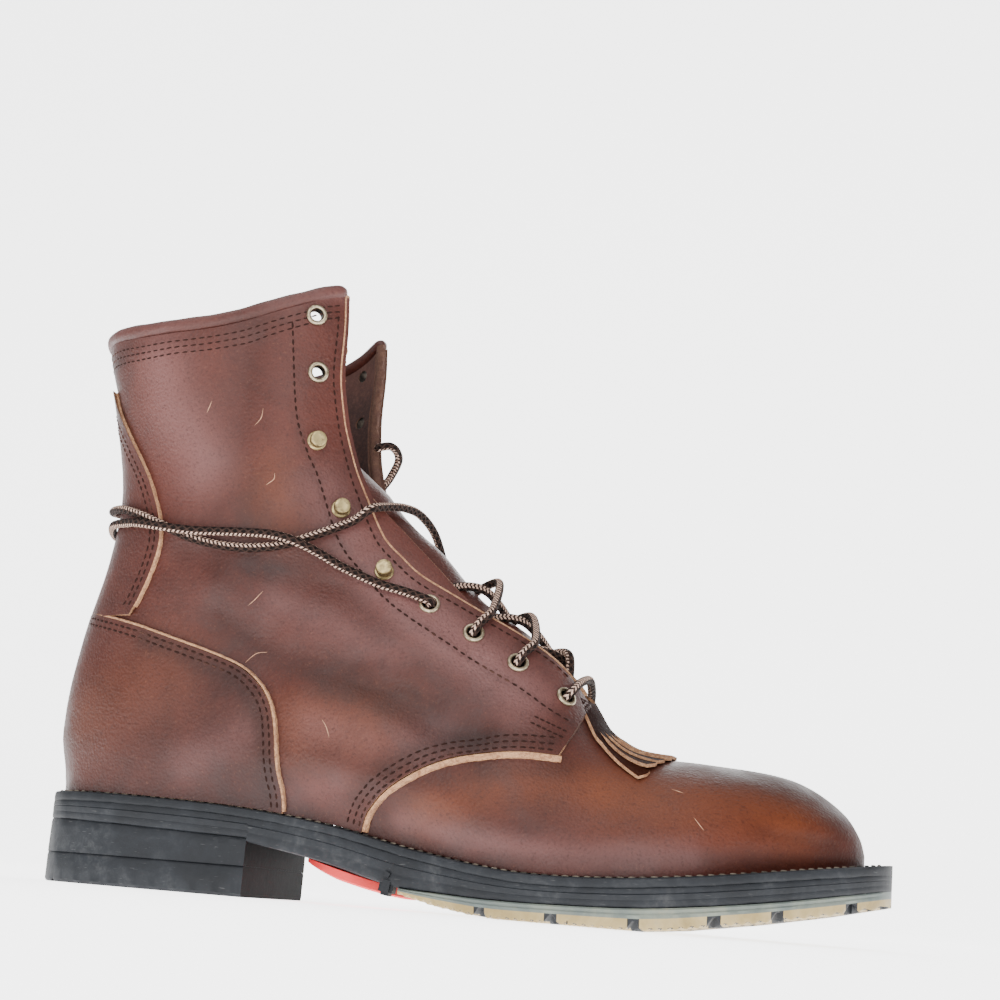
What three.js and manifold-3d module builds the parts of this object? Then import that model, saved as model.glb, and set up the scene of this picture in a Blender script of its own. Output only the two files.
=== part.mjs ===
// Right kiltie packer boot, standing on its sole. Millimetres, +X to the toe, +Y to the inner side, +Z up.
import * as THREE from 'three';
import Module from 'manifold-3d';

const wasm = await Module();
wasm.setup();

// Driving sizes of the whole boot
const bootLength = 305;
const ballWidth = 108;
const instepHeight = 113;
const shaftHeight = 224;
const collarDrop = 17;
const heelLength = 87;
const heelHeight = 20.5;
const heelWedge = 2.6;
const featherHeight = 32.8;
const toeSpring = 15.2;

// Leather
const wall = 2.4;
const panelThickness = 1.6;
const overlayThickness = 1.6;
const kiltieThickness = 1.6;
const tongueThickness = 2.2;
const tongueClearance = 0.9;
const insoleThickness = 3;
const bindingWidth = 5.8;
const clearance = 0.35;

// Sole layers
const weltThickness = 3;
const topLiftThickness = 11;
const insertThickness = 4;
const lugDepth = 3;
const lugNotch = 5;

// Metal and lace
const eyeletFlange = 7.8;
const eyeletToBinding = 1.2;
const eyeletBore = 4.6;
const eyeletBarrel = 5.8;
const eyeletLip = 0.8;
const hookHead = 5.8;
const hookHeight = 4.4;
const laceDiameter = 3.2;

// Throat and fringe
const throatWidth = ballWidth * 0.463;
const kiltieSpread = ballWidth * 0.5926;
const kiltieStrips = 10;
const slitWidth = 0.9;
const slitLength = 21;

// Shape of the upper's surface
const skirt = 10;
const tuckHeight = 22;
const heelRound = 40;
const toeRound = 62;
const facetTolerance = 0.04;
const laceTolerance = 0.08;
const stationCount = 36;
const columnCount = 9;

// Cubic through the rows of a table, at a value of its first column
function curveAt(rows, key, column, value) {
  let i = 0;
  while (i < rows.length - 2 && value > rows[i + 1][key]) i += 1;
  const slope = (j) => {
    const a = rows[Math.max(j - 1, 0)];
    const b = rows[Math.min(j + 1, rows.length - 1)];
    return (b[column] - a[column]) / (b[key] - a[key]);
  };
  const span = rows[i + 1][key] - rows[i][key];
  const q = Math.min(Math.max((value - rows[i][key]) / span, 0), 1);
  const h = q * q * (3 - 2 * q);
  return (
    rows[i][column] * (1 - h) +
    rows[i + 1][column] * h +
    slope(i) * span * q * (1 - q) * (1 - q) -
    slope(i + 1) * span * q * q * (1 - q)
  );
}

function mix(a, b, q) {
  return a + (b - a) * q;
}

function smooth(q) {
  const c = Math.min(Math.max(q, 0), 1);
  return c * c * (3 - 2 * c);
}

// Height of a share: 0 to 1 runs from the floor to the instep, 1 to 2 from the instep to the collar
function heightAt(up) {
  if (up <= 1) return up * instepHeight;
  return instepHeight + (up - 1) * (shaftHeight - instepHeight);
}

// Sole outline: shares of the length and of the ball's width, and how far the upper stands in from it
const outlineRows = [
  { at: 0, lateral: 0, medial: 0, inset: 0.14 },
  { at: 0.02, lateral: 0.18, medial: 0.18, inset: 0.14 },
  { at: 0.05, lateral: 0.268, medial: 0.268, inset: 0.14 },
  { at: 0.11, lateral: 0.324, medial: 0.324, inset: 0.14 },
  { at: 0.2, lateral: 0.328, medial: 0.325, inset: 0.14 },
  { at: 0.3, lateral: 0.318, medial: 0.305, inset: 0.13 },
  { at: 0.4, lateral: 0.315, medial: 0.27, inset: 0.12 },
  { at: 0.5, lateral: 0.365, medial: 0.285, inset: 0.11 },
  { at: 0.6, lateral: 0.45, medial: 0.37, inset: 0.1 },
  { at: 0.7, lateral: 0.502, medial: 0.465, inset: 0.1 },
  { at: 0.77, lateral: 0.49, medial: 0.488, inset: 0.11 },
  { at: 0.84, lateral: 0.43, medial: 0.47, inset: 0.13 },
  { at: 0.91, lateral: 0.3, medial: 0.405, inset: 0.15 },
  { at: 0.96, lateral: 0.165, medial: 0.315, inset: 0.16 },
  { at: 0.99, lateral: 0.045, medial: 0.21, inset: 0.16 },
  { at: 1, lateral: -0.08, medial: 0.08, inset: 0.16 },
].map((row) => ({ ...row, turn: Math.acos(1 - 2 * row.at) }));

function outlineAt(column, share) {
  const at = Math.min(Math.max(share, 0), 1);
  return curveAt(outlineRows, 'turn', column, Math.acos(1 - 2 * at));
}

// Top of the sole, where the upper meets it: shares of the length and of the feather height at the heel
const featherRows = [
  { at: -0.1, rise: 1 },
  { at: 0.14, rise: 0.99 },
  { at: 0.28, rise: 0.94 },
  { at: 0.38, rise: 0.83 },
  { at: 0.485, rise: 0.635 },
  { at: 0.6, rise: 0.49 },
  { at: 0.7, rise: 0.495 },
  { at: 0.8, rise: 0.585 },
  { at: 0.92, rise: 0.76 },
  { at: 1.05, rise: 0.97 },
];

function featherAt(x) {
  return featherHeight * curveAt(featherRows, 'at', 'rise', x / bootLength);
}

// Stations of the upper. The ridge runs from the toe up the vamp and the front of the shaft. The base runs
// along the feather to the heel and climbs the back. Half is the greatest half width, front the share of the
// section before it, and round the power of the section's front.
const stationRows = [
  { ridge: 0.969, up: 0.274, base: 0.969, climb: 0, half: 0.45, front: 1, round: 2, medial: 0.06 },
  { ridge: 0.962, up: 0.33, base: 0.962, climb: 0, half: 0.45, front: 1, round: 2.1, medial: 0.06 },
  { ridge: 0.944, up: 0.4, base: 0.944, climb: 0, half: 0.45, front: 1, round: 2.1, medial: 0.055 },
  { ridge: 0.908, up: 0.466, base: 0.908, climb: 0, half: 0.45, front: 0.98, round: 2.1, medial: 0.05 },
  { ridge: 0.866, up: 0.501, base: 0.865, climb: 0, half: 0.452, front: 0.95, round: 2.1, medial: 0.045 },
  { ridge: 0.79, up: 0.52, base: 0.782, climb: 0, half: 0.456, front: 0.95, round: 2.1, medial: 0.04 },
  { ridge: 0.716, up: 0.536, base: 0.692, climb: 0, half: 0.456, front: 0.95, round: 2, medial: 0.035 },
  { ridge: 0.677, up: 0.592, base: 0.636, climb: 0, half: 0.445, front: 0.95, round: 1.95, medial: 0.03 },
  { ridge: 0.656, up: 0.668, base: 0.59, climb: 0, half: 0.43, front: 0.95, round: 1.95, medial: 0.025 },
  { ridge: 0.623, up: 0.805, base: 0.525, climb: 0, half: 0.4, front: 0.93, round: 2, medial: 0.02 },
  { ridge: 0.58, up: 0.92, base: 0.449, climb: 0, half: 0.365, front: 0.88, round: 2, medial: 0.015 },
  { ridge: 0.526, up: 1.024, base: 0.354, climb: 0, half: 0.345, front: 0.8, round: 2, medial: 0.01 },
  { ridge: 0.484, up: 1.134, base: 0.2, climb: 0, half: 0.318, front: 0.72, round: 2, medial: 0 },
  { ridge: 0.459, up: 1.198, base: 0.092, climb: 0, half: 0.304, front: 0.64, round: 2.05, medial: 0 },
  { ridge: 0.436, up: 1.257, base: 0.023, climb: 0, half: 0.296, front: 0.58, round: 2.1, medial: 0 },
  { ridge: 0.405, up: 1.336, base: 0.0105, climb: 0.147, half: 0.295, front: 0.52, round: 2.2, medial: 0 },
  { ridge: 0.379, up: 1.423, base: 0.0223, climb: 0.3, half: 0.303, front: 0.47, round: 2.3, medial: 0 },
  { ridge: 0.365, up: 1.532, base: 0.0443, climb: 0.43, half: 0.315, front: 0.44, round: 2.4, medial: 0 },
  { ridge: 0.358, up: 1.685, base: 0.0518, climb: 0.555, half: 0.33, front: 0.42, round: 2.5, medial: 0 },
  { ridge: 0.354, up: 1.874, base: 0.0305, climb: 0.7, half: 0.358, front: 0.4, round: 2.6, medial: 0 },
  { ridge: 0.351, up: 1.991, base: 0.0131, climb: 0.778, half: 0.37, front: 0.4, round: 2.6, medial: 0 },
  { ridge: 0.346, up: 2.189, base: -0.008, climb: 0.895, half: 0.38, front: 0.4, round: 2.6, medial: 0 },
].map((row, station) => ({ ...row, station }));
const lastStation = stationRows.length - 1;
const heelStation = stationRows.findIndex((row) => row.climb > 0) - 1;

function stationAt(column, u) {
  return curveAt(stationRows, 'station', column, Math.min(Math.max(u, 0), lastStation));
}

function ridgeAt(u) {
  return { x: bootLength * stationAt('ridge', u), z: heightAt(stationAt('up', u)) };
}

function baseAt(u) {
  const x = bootLength * stationAt('base', u);
  const climb = u > heelStation ? stationAt('climb', u) : 0;
  return { x, z: featherAt(x) - skirt + Math.max(climb, 0) * shaftHeight };
}

// Horizontal place of the back line at a height
const backLine = [];
for (let u = heelStation; u <= lastStation; u += 0.25) {
  backLine.push(baseAt(u));
}

function backAt(z) {
  if (z <= backLine[0].z) return backLine[0].x;
  let i = 0;
  while (i < backLine.length - 2 && z > backLine[i + 1].z) i += 1;
  const q = (z - backLine[i].z) / (backLine[i + 1].z - backLine[i].z);
  return mix(backLine[i].x, backLine[i + 1].x, Math.min(Math.max(q, 0), 1));
}

const toeTip = ridgeAt(0).x;
const heelTip = baseAt(heelStation).x;

function superRound(q, power) {
  const c = Math.min(Math.max(q, 0), 1);
  return Math.max(1 - (1 - c) ** power, 0) ** (1 / power);
}

// Half width and centre of the feather line
function featherSides(x) {
  const share = (x - heelTip) / (toeTip - heelTip);
  const shrink = 1 - outlineAt('inset', share);
  return {
    lateral: ballWidth * outlineAt('lateral', share) * shrink,
    medial: ballWidth * outlineAt('medial', share) * shrink,
  };
}

// A point of the form: turn runs from -1 (base, outer side) through 0 (ridge) to 1 (base, inner side)
function formPoint(u, turn) {
  let side = turn;
  if (Math.abs(side) > 1) side = -Math.sign(side) * (2 - Math.abs(side));
  const s = (1 - Math.cos(Math.PI * Math.abs(side))) / 2;
  const ridge = ridgeAt(u);
  const base = baseAt(u);
  const x = mix(ridge.x, base.x, s);
  const z = mix(ridge.z, base.z, s);
  const feather = featherSides(x);
  const above = z - featherAt(x);
  const outlineHalf = (feather.lateral + feather.medial) / 2;
  const outlineCentre = (feather.medial - feather.lateral) / 2;
  const fromBack = Math.max(x - backAt(z), (1 - s) * (ridge.x - base.x) * 0.5);
  const half =
    ballWidth *
    stationAt('half', u) *
    superRound(s / stationAt('front', u), stationAt('round', u)) *
    superRound(fromBack / heelRound, 2) *
    superRound((toeTip - x) / toeRound, 2.1);
  const width = mix(outlineHalf, half, smooth(above / tuckHeight));
  const centre = mix(outlineCentre, ballWidth * stationAt('medial', u), smooth(above / (3 * tuckHeight)));
  const closed = Math.abs(side) === 1 && u > heelStation;
  const y = closed ? 0 : centre + Math.sign(side) * width;
  return new THREE.Vector3(x, u <= 0 ? centre : y, z);
}

function formNormal(u, turn) {
  if (u <= 0) return new THREE.Vector3(1, 0, 0.1).normalize();
  const du = 0.03;
  const dt = 0.004;
  const open = u <= heelStation;
  const t0 = open ? Math.max(turn - dt, -1) : turn - dt;
  const t1 = open ? Math.min(turn + dt, 1) : turn + dt;
  const along = formPoint(Math.min(u + du, lastStation), turn).sub(formPoint(Math.max(u - du, 0.001), turn));
  const across = formPoint(u, t1).sub(formPoint(u, t0));
  const normal = along.cross(across);
  if (Math.abs(turn) === 1 && !open) normal.y = 0;
  return normal.normalize().negate();
}

// The form's surface moved out by an offset
function skin(u, turn, offset) {
  return formPoint(u, turn).addScaledVector(formNormal(u, turn), offset);
}

function toManifold(geometry) {
  const plain = geometry.index ? geometry.toNonIndexed() : geometry;
  const position = plain.getAttribute('position');
  const keys = new Map();
  const verts = [];
  const tris = [];
  const ids = [0, 0, 0];
  for (let i = 0; i < position.count; i += 3) {
    for (let k = 0; k < 3; k += 1) {
      const p = [position.getX(i + k), position.getY(i + k), position.getZ(i + k)];
      const key = p.map((c) => Math.round(c * 2000)).join(' ');
      if (!keys.has(key)) {
        keys.set(key, verts.length / 3);
        verts.push(...p);
      }
      ids[k] = keys.get(key);
    }
    if (ids[0] !== ids[1] && ids[1] !== ids[2] && ids[2] !== ids[0]) tris.push(...ids);
  }
  const mesh = new wasm.Mesh({
    numProp: 3,
    vertProperties: new Float32Array(verts),
    triVerts: new Uint32Array(tris),
  });
  return new wasm.Manifold(mesh);
}

function fromManifold(solid, tolerance = facetTolerance) {
  const mesh = solid.simplify(tolerance).getMesh();
  const geometry = new THREE.BufferGeometry();
  geometry.setAttribute('position', new THREE.BufferAttribute(Float32Array.from(mesh.vertProperties), 3));
  geometry.setIndex(Array.from(mesh.triVerts));
  geometry.computeVertexNormals();
  return geometry;
}

// Closed solid from rings of points, each ring joined to the next and the two ends capped as strips
function ringSolid(rings) {
  const points = [];
  const quad = (a, b, c, d) => {
    points.push(a, b, c);
    points.push(a, c, d);
  };
  const count = rings[0].length;
  for (let r = 0; r < rings.length - 1; r += 1) {
    for (let i = 0; i < count; i += 1) {
      const j = (i + 1) % count;
      quad(rings[r][i], rings[r][j], rings[r + 1][j], rings[r + 1][i]);
    }
  }
  for (const [ring, flip] of [[rings[0], true], [rings[rings.length - 1], false]]) {
    for (let i = 0; i < Math.floor(count / 2) - 1; i += 1) {
      const a = [ring[i], ring[i + 1], ring[count - 2 - i], ring[count - 1 - i]];
      if (flip) a.reverse();
      quad(...a);
    }
    if (count % 2 === 1) {
      const m = Math.floor(count / 2);
      const cap = [ring[m - 1], ring[m], ring[m + 1]];
      if (flip) cap.reverse();
      points.push(...cap);
    }
  }
  const geometry = new THREE.BufferGeometry().setFromPoints(points);
  const solid = toManifold(geometry);
  if (solid.volume() >= 0) return solid;
  const turned = points.map((p, i) => points[i - (i % 3) + 2 - (i % 3)]);
  return toManifold(new THREE.BufferGeometry().setFromPoints(turned));
}

// The whole form as a solid, its surface moved out by an offset
const forms = new Map();
function form(offset) {
  const key = offset.toFixed(3);
  if (forms.has(key)) return forms.get(key);
  const rings = [];
  for (let i = 0; i <= stationCount; i += 1) {
    const u = (lastStation * i) / stationCount;
    const ring = [];
    for (let j = -columnCount; j <= columnCount; j += 1) {
      ring.push(skin(u, j / columnCount, offset));
    }
    rings.push(ring);
  }
  const solid = ringSolid(rings);
  forms.set(key, solid);
  return solid;
}

// An outline in side view, X and Z, run through from one Y to another
function sideBlock(outline, fromY = -ballWidth, toY = ballWidth) {
  const shape = new THREE.Shape(outline.map(([x, z]) => new THREE.Vector2(x, z)));
  const geometry = new THREE.ExtrudeGeometry(shape, { depth: toY - fromY, bevelEnabled: false });
  geometry.rotateX(Math.PI / 2);
  geometry.translate(0, toY, 0);
  return toManifold(geometry);
}

// An outline in plan, X and Y, run through from one Z to another
function planBlock(outline, fromZ, toZ) {
  const shape = new THREE.Shape(outline.map(([x, y]) => new THREE.Vector2(x, y)));
  const geometry = new THREE.ExtrudeGeometry(shape, { depth: toZ - fromZ, bevelEnabled: false });
  geometry.translate(0, 0, fromZ);
  return toManifold(geometry);
}

function tube(points, diameter, steps, sides) {
  const section = new THREE.Shape();
  for (let i = 0; i < sides; i += 1) {
    const a = (2 * Math.PI * i) / sides;
    const r = diameter / 2;
    if (i === 0) section.moveTo(r, 0);
    else section.lineTo(r * Math.cos(a), r * Math.sin(a));
  }
  const path = new THREE.CatmullRomCurve3(points);
  return new THREE.ExtrudeGeometry(section, { steps, extrudePath: path, bevelEnabled: false });
}

function shell(inner, outer) {
  return form(outer).subtract(form(inner));
}

// Places along X where every long profile has a point, so that faces that meet have the same facets
function profilePlaces(fromX, toX) {
  const step = bootLength / 24;
  const places = [fromX];
  for (let i = Math.ceil(fromX / step + 0.05); i * step < toX - 0.05 * step; i += 1) places.push(i * step);
  places.push(toX);
  return places;
}

// Everything above the feather line, raised by a height
function aboveFeather(raise) {
  const outline = profilePlaces(-bootLength * 0.1, bootLength * 1.1).map((x) => [x, featherAt(x) + raise]);
  outline.push([bootLength * 1.1, shaftHeight * 1.3]);
  outline.push([-bootLength * 0.1, shaftHeight * 1.3]);
  return sideBlock(outline);
}

// Everything below the collar line, lowered by a height
const collarRows = [
  { x: -0.1, drop: 0.9 },
  { x: 0, drop: 1.03 },
  { x: 0.086, drop: 1.2 },
  { x: 0.162, drop: 1.09 },
  { x: 0.227, drop: 0.84 },
  { x: 0.285, drop: 0.47 },
  { x: 0.335, drop: 0.04 },
  { x: 0.45, drop: -0.6 },
];

function collarAt(x) {
  return shaftHeight - collarDrop * curveAt(collarRows, 'x', 'drop', x / bootLength);
}

function belowCollar(lower) {
  const outline = [[-bootLength * 0.1, -skirt], [bootLength * 1.1, -skirt]];
  outline.push([bootLength * 1.1, collarAt(bootLength * 0.45) - lower]);
  for (let i = 12; i >= 0; i -= 1) {
    const x = bootLength * mix(-0.1, 0.45, i / 12);
    outline.push([x, collarAt(x) - lower]);
  }
  return sideBlock(outline);
}

// Half width of the throat, from its foot to the collar, by station
const throatFoot = 8.45;
const throatRows = [
  { station: 8, gap: 0.36 },
  { station: 9, gap: 0.52 },
  { station: 10, gap: 0.62 },
  { station: 11, gap: 0.67 },
  { station: 12, gap: 0.68 },
  { station: 14, gap: 0.68 },
  { station: 15.5, gap: 0.69 },
  { station: 16.5, gap: 0.76 },
  { station: 17.5, gap: 0.9 },
  { station: 18.5, gap: 1.02 },
  { station: lastStation, gap: 1.06 },
];

function throatHalf(u) {
  return (throatWidth / 2) * curveAt(throatRows, 'station', 'gap', u);
}

// A slab along the ridge, of a half width by station, from outside the form to a depth inside it
function ridgeSlab(halfAt, fromU, toU, outside, inside) {
  const rings = [];
  const steps = 26;
  for (let i = 0; i <= steps; i += 1) {
    const u = mix(fromU, toU, i / steps);
    const ridge = ridgeAt(u);
    const base = baseAt(u);
    const away = new THREE.Vector3(ridge.x - base.x, 0, ridge.z - base.z).normalize();
    const half = halfAt(u);
    const centre = ballWidth * stationAt('medial', u);
    const corner = (depth, y) =>
      new THREE.Vector3(ridge.x + away.x * depth, centre + y, ridge.z + away.z * depth);
    rings.push([corner(outside, -half), corner(outside, half), corner(-inside, half), corner(-inside, -half)]);
  }
  return ringSolid(rings);
}

function throatCutter(extra) {
  const halfAt = (u) => (throatHalf(u) + extra) * superRound((u - throatFoot + 0.35) / 0.8, 2);
  return ridgeSlab(halfAt, throatFoot - 0.3, lastStation, 3 * wall + 20, 34);
}

// Side outline of the quarter: its lower front edge is the seam on the vamp
const quarterRows = [
  { x: 0.416, z: 0.05 },
  { x: 0.423, z: 0.234 },
  { x: 0.438, z: 0.303 },
  { x: 0.462, z: 0.36 },
  { x: 0.494, z: 0.417 },
  { x: 0.528, z: 0.455 },
  { x: 0.564, z: 0.475 },
  { x: 0.6, z: 0.484 },
  { x: 0.64, z: 0.482 },
  { x: 0.651, z: 0.56 },
  { x: 0.66, z: 0.66 },
  { x: 0.645, z: 0.76 },
  { x: 0.62, z: 0.9 },
];

function quarterBlock(grow) {
  const outline = quarterRows.map((row) => [bootLength * row.x + grow, instepHeight * row.z - grow]);
  outline.push([bootLength * 0.66, instepHeight * 1.25]);
  outline.push([bootLength * 0.66, shaftHeight * 1.3]);
  outline.push([-bootLength * 0.1, shaftHeight * 1.3]);
  outline.push([-bootLength * 0.1, -skirt - grow]);
  outline.push([bootLength * 0.416 + grow, -skirt - grow]);
  return sideBlock(outline);
}

// Lacing holes up each side: shares of the length, and height shares
const lacingRows = [
  { x: 0.6315, up: 0.684, kind: 'eyelet' },
  { x: 0.5748, up: 0.779, kind: 'eyelet' },
  { x: 0.5203, up: 0.865, kind: 'eyelet' },
  { x: 0.4652, up: 0.95, kind: 'eyelet' },
  { x: 0.4072, up: 1.049, kind: 'hook' },
  { x: 0.3485, up: 1.25, kind: 'hook' },
  { x: 0.3154, up: 1.463, kind: 'hook' },
  { x: 0.3121, up: 1.691, kind: 'eyelet' },
  { x: 0.3062, up: 1.879, kind: 'eyelet' },
];

// Station and turn of the form's point at a place in side view, on one side
function findPlace(x, z, side) {
  let best = { u: 0, turn: 0, miss: Infinity };
  const tryAt = (u, turn) => {
    const p = skin(u, side * turn, panelThickness);
    const miss = (p.x - x) ** 2 + (p.z - z) ** 2;
    if (miss < best.miss) best = { u, turn, miss };
  };
  for (let u = 0.5; u < lastStation; u += 0.5) {
    for (let turn = 0.02; turn < 0.99; turn += 0.04) tryAt(u, turn);
  }
  for (let step = 0.25; step > 0.002; step *= 0.6) {
    const { u, turn } = best;
    for (const a of [-1, 0, 1]) {
      for (const b of [-1, 0, 1]) tryAt(u + a * step, turn + b * step * 0.12);
    }
  }
  return { u: best.u, turn: side * best.turn };
}

const lacing = [];
for (const side of [-1, 1]) {
  for (const [i, row] of lacingRows.entries()) {
    const x = bootLength * row.x;
    const highest = collarAt(x) - (bindingWidth + eyeletFlange) / 2 - eyeletToBinding;
    const place = findPlace(x, Math.min(heightAt(row.up), highest), side);
    const point = skin(place.u, place.turn, panelThickness);
    const normal = formNormal(place.u, place.turn);
    lacing.push({ ...row, number: i + 1, side, place, point, normal });
  }
}

function alongNormal(geometry, point, normal) {
  const turn = new THREE.Quaternion().setFromUnitVectors(new THREE.Vector3(0, 1, 0), normal);
  geometry.applyQuaternion(turn);
  geometry.translate(point.x, point.y, point.z);
  return geometry;
}

// Upper: one hollow wall, the quarters a panel thicker than the vamp
function makeUpper() {
  const open = ridgeSlab(throatHalf, throatFoot - 1.2, lastStation, 3 * wall, 1.5 * wall);
  const quarter = form(panelThickness).intersect(quarterBlock(0)).subtract(open);
  let solid = form(0).add(quarter).subtract(form(-wall));
  solid = solid.intersect(aboveFeather(0));
  solid = solid.intersect(belowCollar(bindingWidth / 2 + 2.5 * clearance));
  solid = solid.subtract(throatCutter(0));
  for (const hole of lacing.filter((row) => row.kind === 'eyelet')) {
    const bore = new THREE.CylinderGeometry(eyeletBarrel / 2 + clearance, eyeletBarrel / 2 + clearance, 16, 10);
    solid = solid.subtract(toManifold(alongNormal(bore, hole.point, hole.normal)));
  }
  return solid;
}

// Heel counter: the outer side's edge curves over the heel, the inner side's runs down in a slant
const counterRows = {
  lateral: [
    { x: 0.325, z: 0.05 },
    { x: 0.325, z: 0.293 },
    { x: 0.318, z: 0.389 },
    { x: 0.312, z: 0.488 },
    { x: 0.304, z: 0.578 },
    { x: 0.289, z: 0.645 },
    { x: 0.262, z: 0.704 },
    { x: 0.226, z: 0.744 },
    { x: 0.176, z: 0.784 },
    { x: 0.121, z: 0.827 },
    { x: 0.069, z: 0.862 },
    { x: 0.045, z: 0.88 },
    { x: -0.1, z: 0.88 },
    { x: -0.1, z: 0.05 },
  ],
  medial: [
    { x: 0.34, z: 0.05 },
    { x: 0.335, z: 0.28 },
    { x: 0.31, z: 0.42 },
    { x: 0.275, z: 0.53 },
    { x: 0.225, z: 0.65 },
    { x: 0.16, z: 0.75 },
    { x: 0.09, z: 0.83 },
    { x: 0.045, z: 0.88 },
    { x: -0.1, z: 0.88 },
    { x: -0.1, z: 0.05 },
  ],
};

function counterBlock(side, grow) {
  const outline = counterRows[side].map((row) => [bootLength * row.x + grow, instepHeight * row.z + grow]);
  return side === 'lateral' ? sideBlock(outline, -ballWidth, 0) : sideBlock(outline, 0, ballWidth);
}

const overlayFrom = panelThickness + clearance;
const overlayTo = overlayFrom + overlayThickness;

function makeCounter() {
  const blocks = counterBlock('lateral', 0).add(counterBlock('medial', 0));
  return shell(overlayFrom, overlayTo).intersect(blocks).intersect(aboveFeather(0));
}

// Backstay: half of its hourglass outline in side view, above the counter
const backstayRows = [
  { x: 0.109, up: 0.86 },
  { x: 0.118, up: 0.904 },
  { x: 0.13, up: 0.99 },
  { x: 0.1385, up: 1.088 },
  { x: 0.137, up: 1.159 },
  { x: 0.1285, up: 1.232 },
  { x: 0.109, up: 1.338 },
  { x: 0.0764, up: 1.464 },
  { x: 0.0413, up: 1.596 },
  { x: 0.03, up: 1.66 },
  { x: -0.1, up: 1.66 },
  { x: -0.1, up: 0.86 },
];

function makeBackstay() {
  const block = sideBlock(backstayRows.map((row) => [bootLength * row.x, heightAt(row.up)]));
  const counter = counterBlock('lateral', clearance).add(counterBlock('medial', clearance));
  return shell(overlayFrom, overlayTo).intersect(block).subtract(counter).intersect(belowCollar(bindingWidth));
}

// Turn at which the wall reaches the throat's edge
function throatTurn(u) {
  let inner = 0;
  let outer = 0.6;
  for (let k = 0; k < 20; k += 1) {
    const middle = (inner + outer) / 2;
    if (skin(u, middle, 0).y < throatHalf(u)) inner = middle;
    else outer = middle;
  }
  return inner;
}

// Rolled binding round the collar, open at the throat
function makeBinding() {
  const points = [];
  const count = 30;
  const middle = (panelThickness - wall) / 2;
  for (let i = 0; i <= count; i += 1) {
    const share = mix(-1, 1, i / count);
    let u = lastStation * 0.93;
    let turn = 0;
    for (let k = 0; k < 30; k += 1) {
      turn = Math.sign(share || 1) * mix(1, throatTurn(u), Math.abs(share));
      const p = skin(u, turn, middle);
      u += (collarAt(p.x) - p.z) * 0.02;
    }
    points.push(skin(u, turn, middle));
  }
  return toManifold(tube(points, bindingWidth, 30, 10));
}

// A sheet between two offsets of the form, shifted back into the shaft
function sheet(fromU, toU, steps, spreadAt, outer, inner, shiftAt) {
  const rings = [];
  const across = 5;
  for (let i = 0; i <= steps; i += 1) {
    const u = mix(fromU, toU, i / steps);
    const ring = [];
    for (let j = -across; j <= across; j += 1) {
      const p = skin(u, (spreadAt(u) * j) / across, outer);
      p.x -= shiftAt(u);
      ring.push(p);
    }
    for (let j = across; j >= -across; j -= 1) {
      const p = skin(u, (spreadAt(u) * j) / across, inner);
      p.x -= shiftAt(u);
      ring.push(p);
    }
    rings.push(ring);
  }
  return ringSolid(rings);
}

// Tongue: under the vamp's throat, then up behind the flaps and back into the shaft
const tongueRows = [
  { station: 6.6, spread: 0.17, back: 0 },
  { station: 8, spread: 0.24, back: 0 },
  { station: 10, spread: 0.31, back: 0 },
  { station: 12, spread: 0.35, back: 0 },
  { station: 14, spread: 0.37, back: 0 },
  { station: 15.5, spread: 0.37, back: 0.0 },
  { station: 17, spread: 0.35, back: 0.1 },
  { station: 18.8, spread: 0.33, back: 0.3 },
];

function makeTongue() {
  const outer = -wall - tongueClearance;
  const spreadAt = (u) => curveAt(tongueRows, 'station', 'spread', u);
  const shiftAt = (u) => Math.max(ballWidth * curveAt(tongueRows, 'station', 'back', u), 0);
  return sheet(6.6, 18.8, 18, spreadAt, outer, outer - tongueThickness, shiftAt);
}

// Kiltie: a fan from the throat, cut into strips
function makeKiltie() {
  const root = [bootLength * 0.585, 0];
  const tipX = bootLength * 0.757;
  const halfSpread = kiltieSpread / 2;
  const outline = [
    [root[0] + 22, -throatWidth * 0.2],
    [tipX - 26, -halfSpread * 0.62],
    [tipX - 11, -halfSpread],
  ];
  const fan = Math.atan2(halfSpread, tipX - 11 - root[0]);
  const reach = tipX - root[0];
  for (let i = 1; i < kiltieStrips; i += 1) {
    const angle = mix(-fan, fan, i / kiltieStrips);
    outline.push([root[0] + reach * Math.cos(angle) * mix(1, 0.97, Math.abs(angle)), reach * Math.sin(angle)]);
  }
  outline.push([tipX - 11, halfSpread]);
  outline.push([tipX - 26, halfSpread * 0.62]);
  outline.push([root[0] + 22, throatWidth * 0.2]);
  let solid = shell(clearance, clearance + kiltieThickness).intersect(planBlock(outline, 30, shaftHeight));
  for (let i = 1; i < kiltieStrips; i += 1) {
    const angle = mix(-fan, fan, i / kiltieStrips);
    const slit = new THREE.BoxGeometry(slitLength + 10, slitWidth, shaftHeight);
    slit.translate(reach - slitLength / 2 + 5, 0, instepHeight / 2);
    slit.rotateZ(angle);
    slit.translate(root[0], root[1], 0);
    solid = solid.subtract(toManifold(slit));
  }
  return solid.subtract(quarterBlock(clearance));
}

function makeInsole() {
  const inside = form(-wall - clearance);
  return inside.intersect(aboveFeather(0)).subtract(aboveFeather(insoleThickness));
}

// Plan outline of the sole, grown or shrunk
function soleOutline(grow) {
  const points = [];
  const count = 22;
  const scale = (ballWidth / 2 + grow) / (ballWidth / 2);
  for (let i = 0; i <= count; i += 1) {
    const share = (1 - Math.cos((Math.PI * i) / count)) / 2;
    const x = mix(-grow, bootLength + grow, share);
    points.push([x, -ballWidth * outlineAt('lateral', share) * scale]);
  }
  for (let i = count - 1; i > 0; i -= 1) {
    const share = (1 - Math.cos((Math.PI * i) / count)) / 2;
    const x = mix(-grow, bootLength + grow, share);
    points.push([x, ballWidth * outlineAt('medial', share) * scale]);
  }
  return points;
}

function solePlan(grow) {
  return planBlock(soleOutline(grow), -skirt, featherHeight * 2);
}

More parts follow.
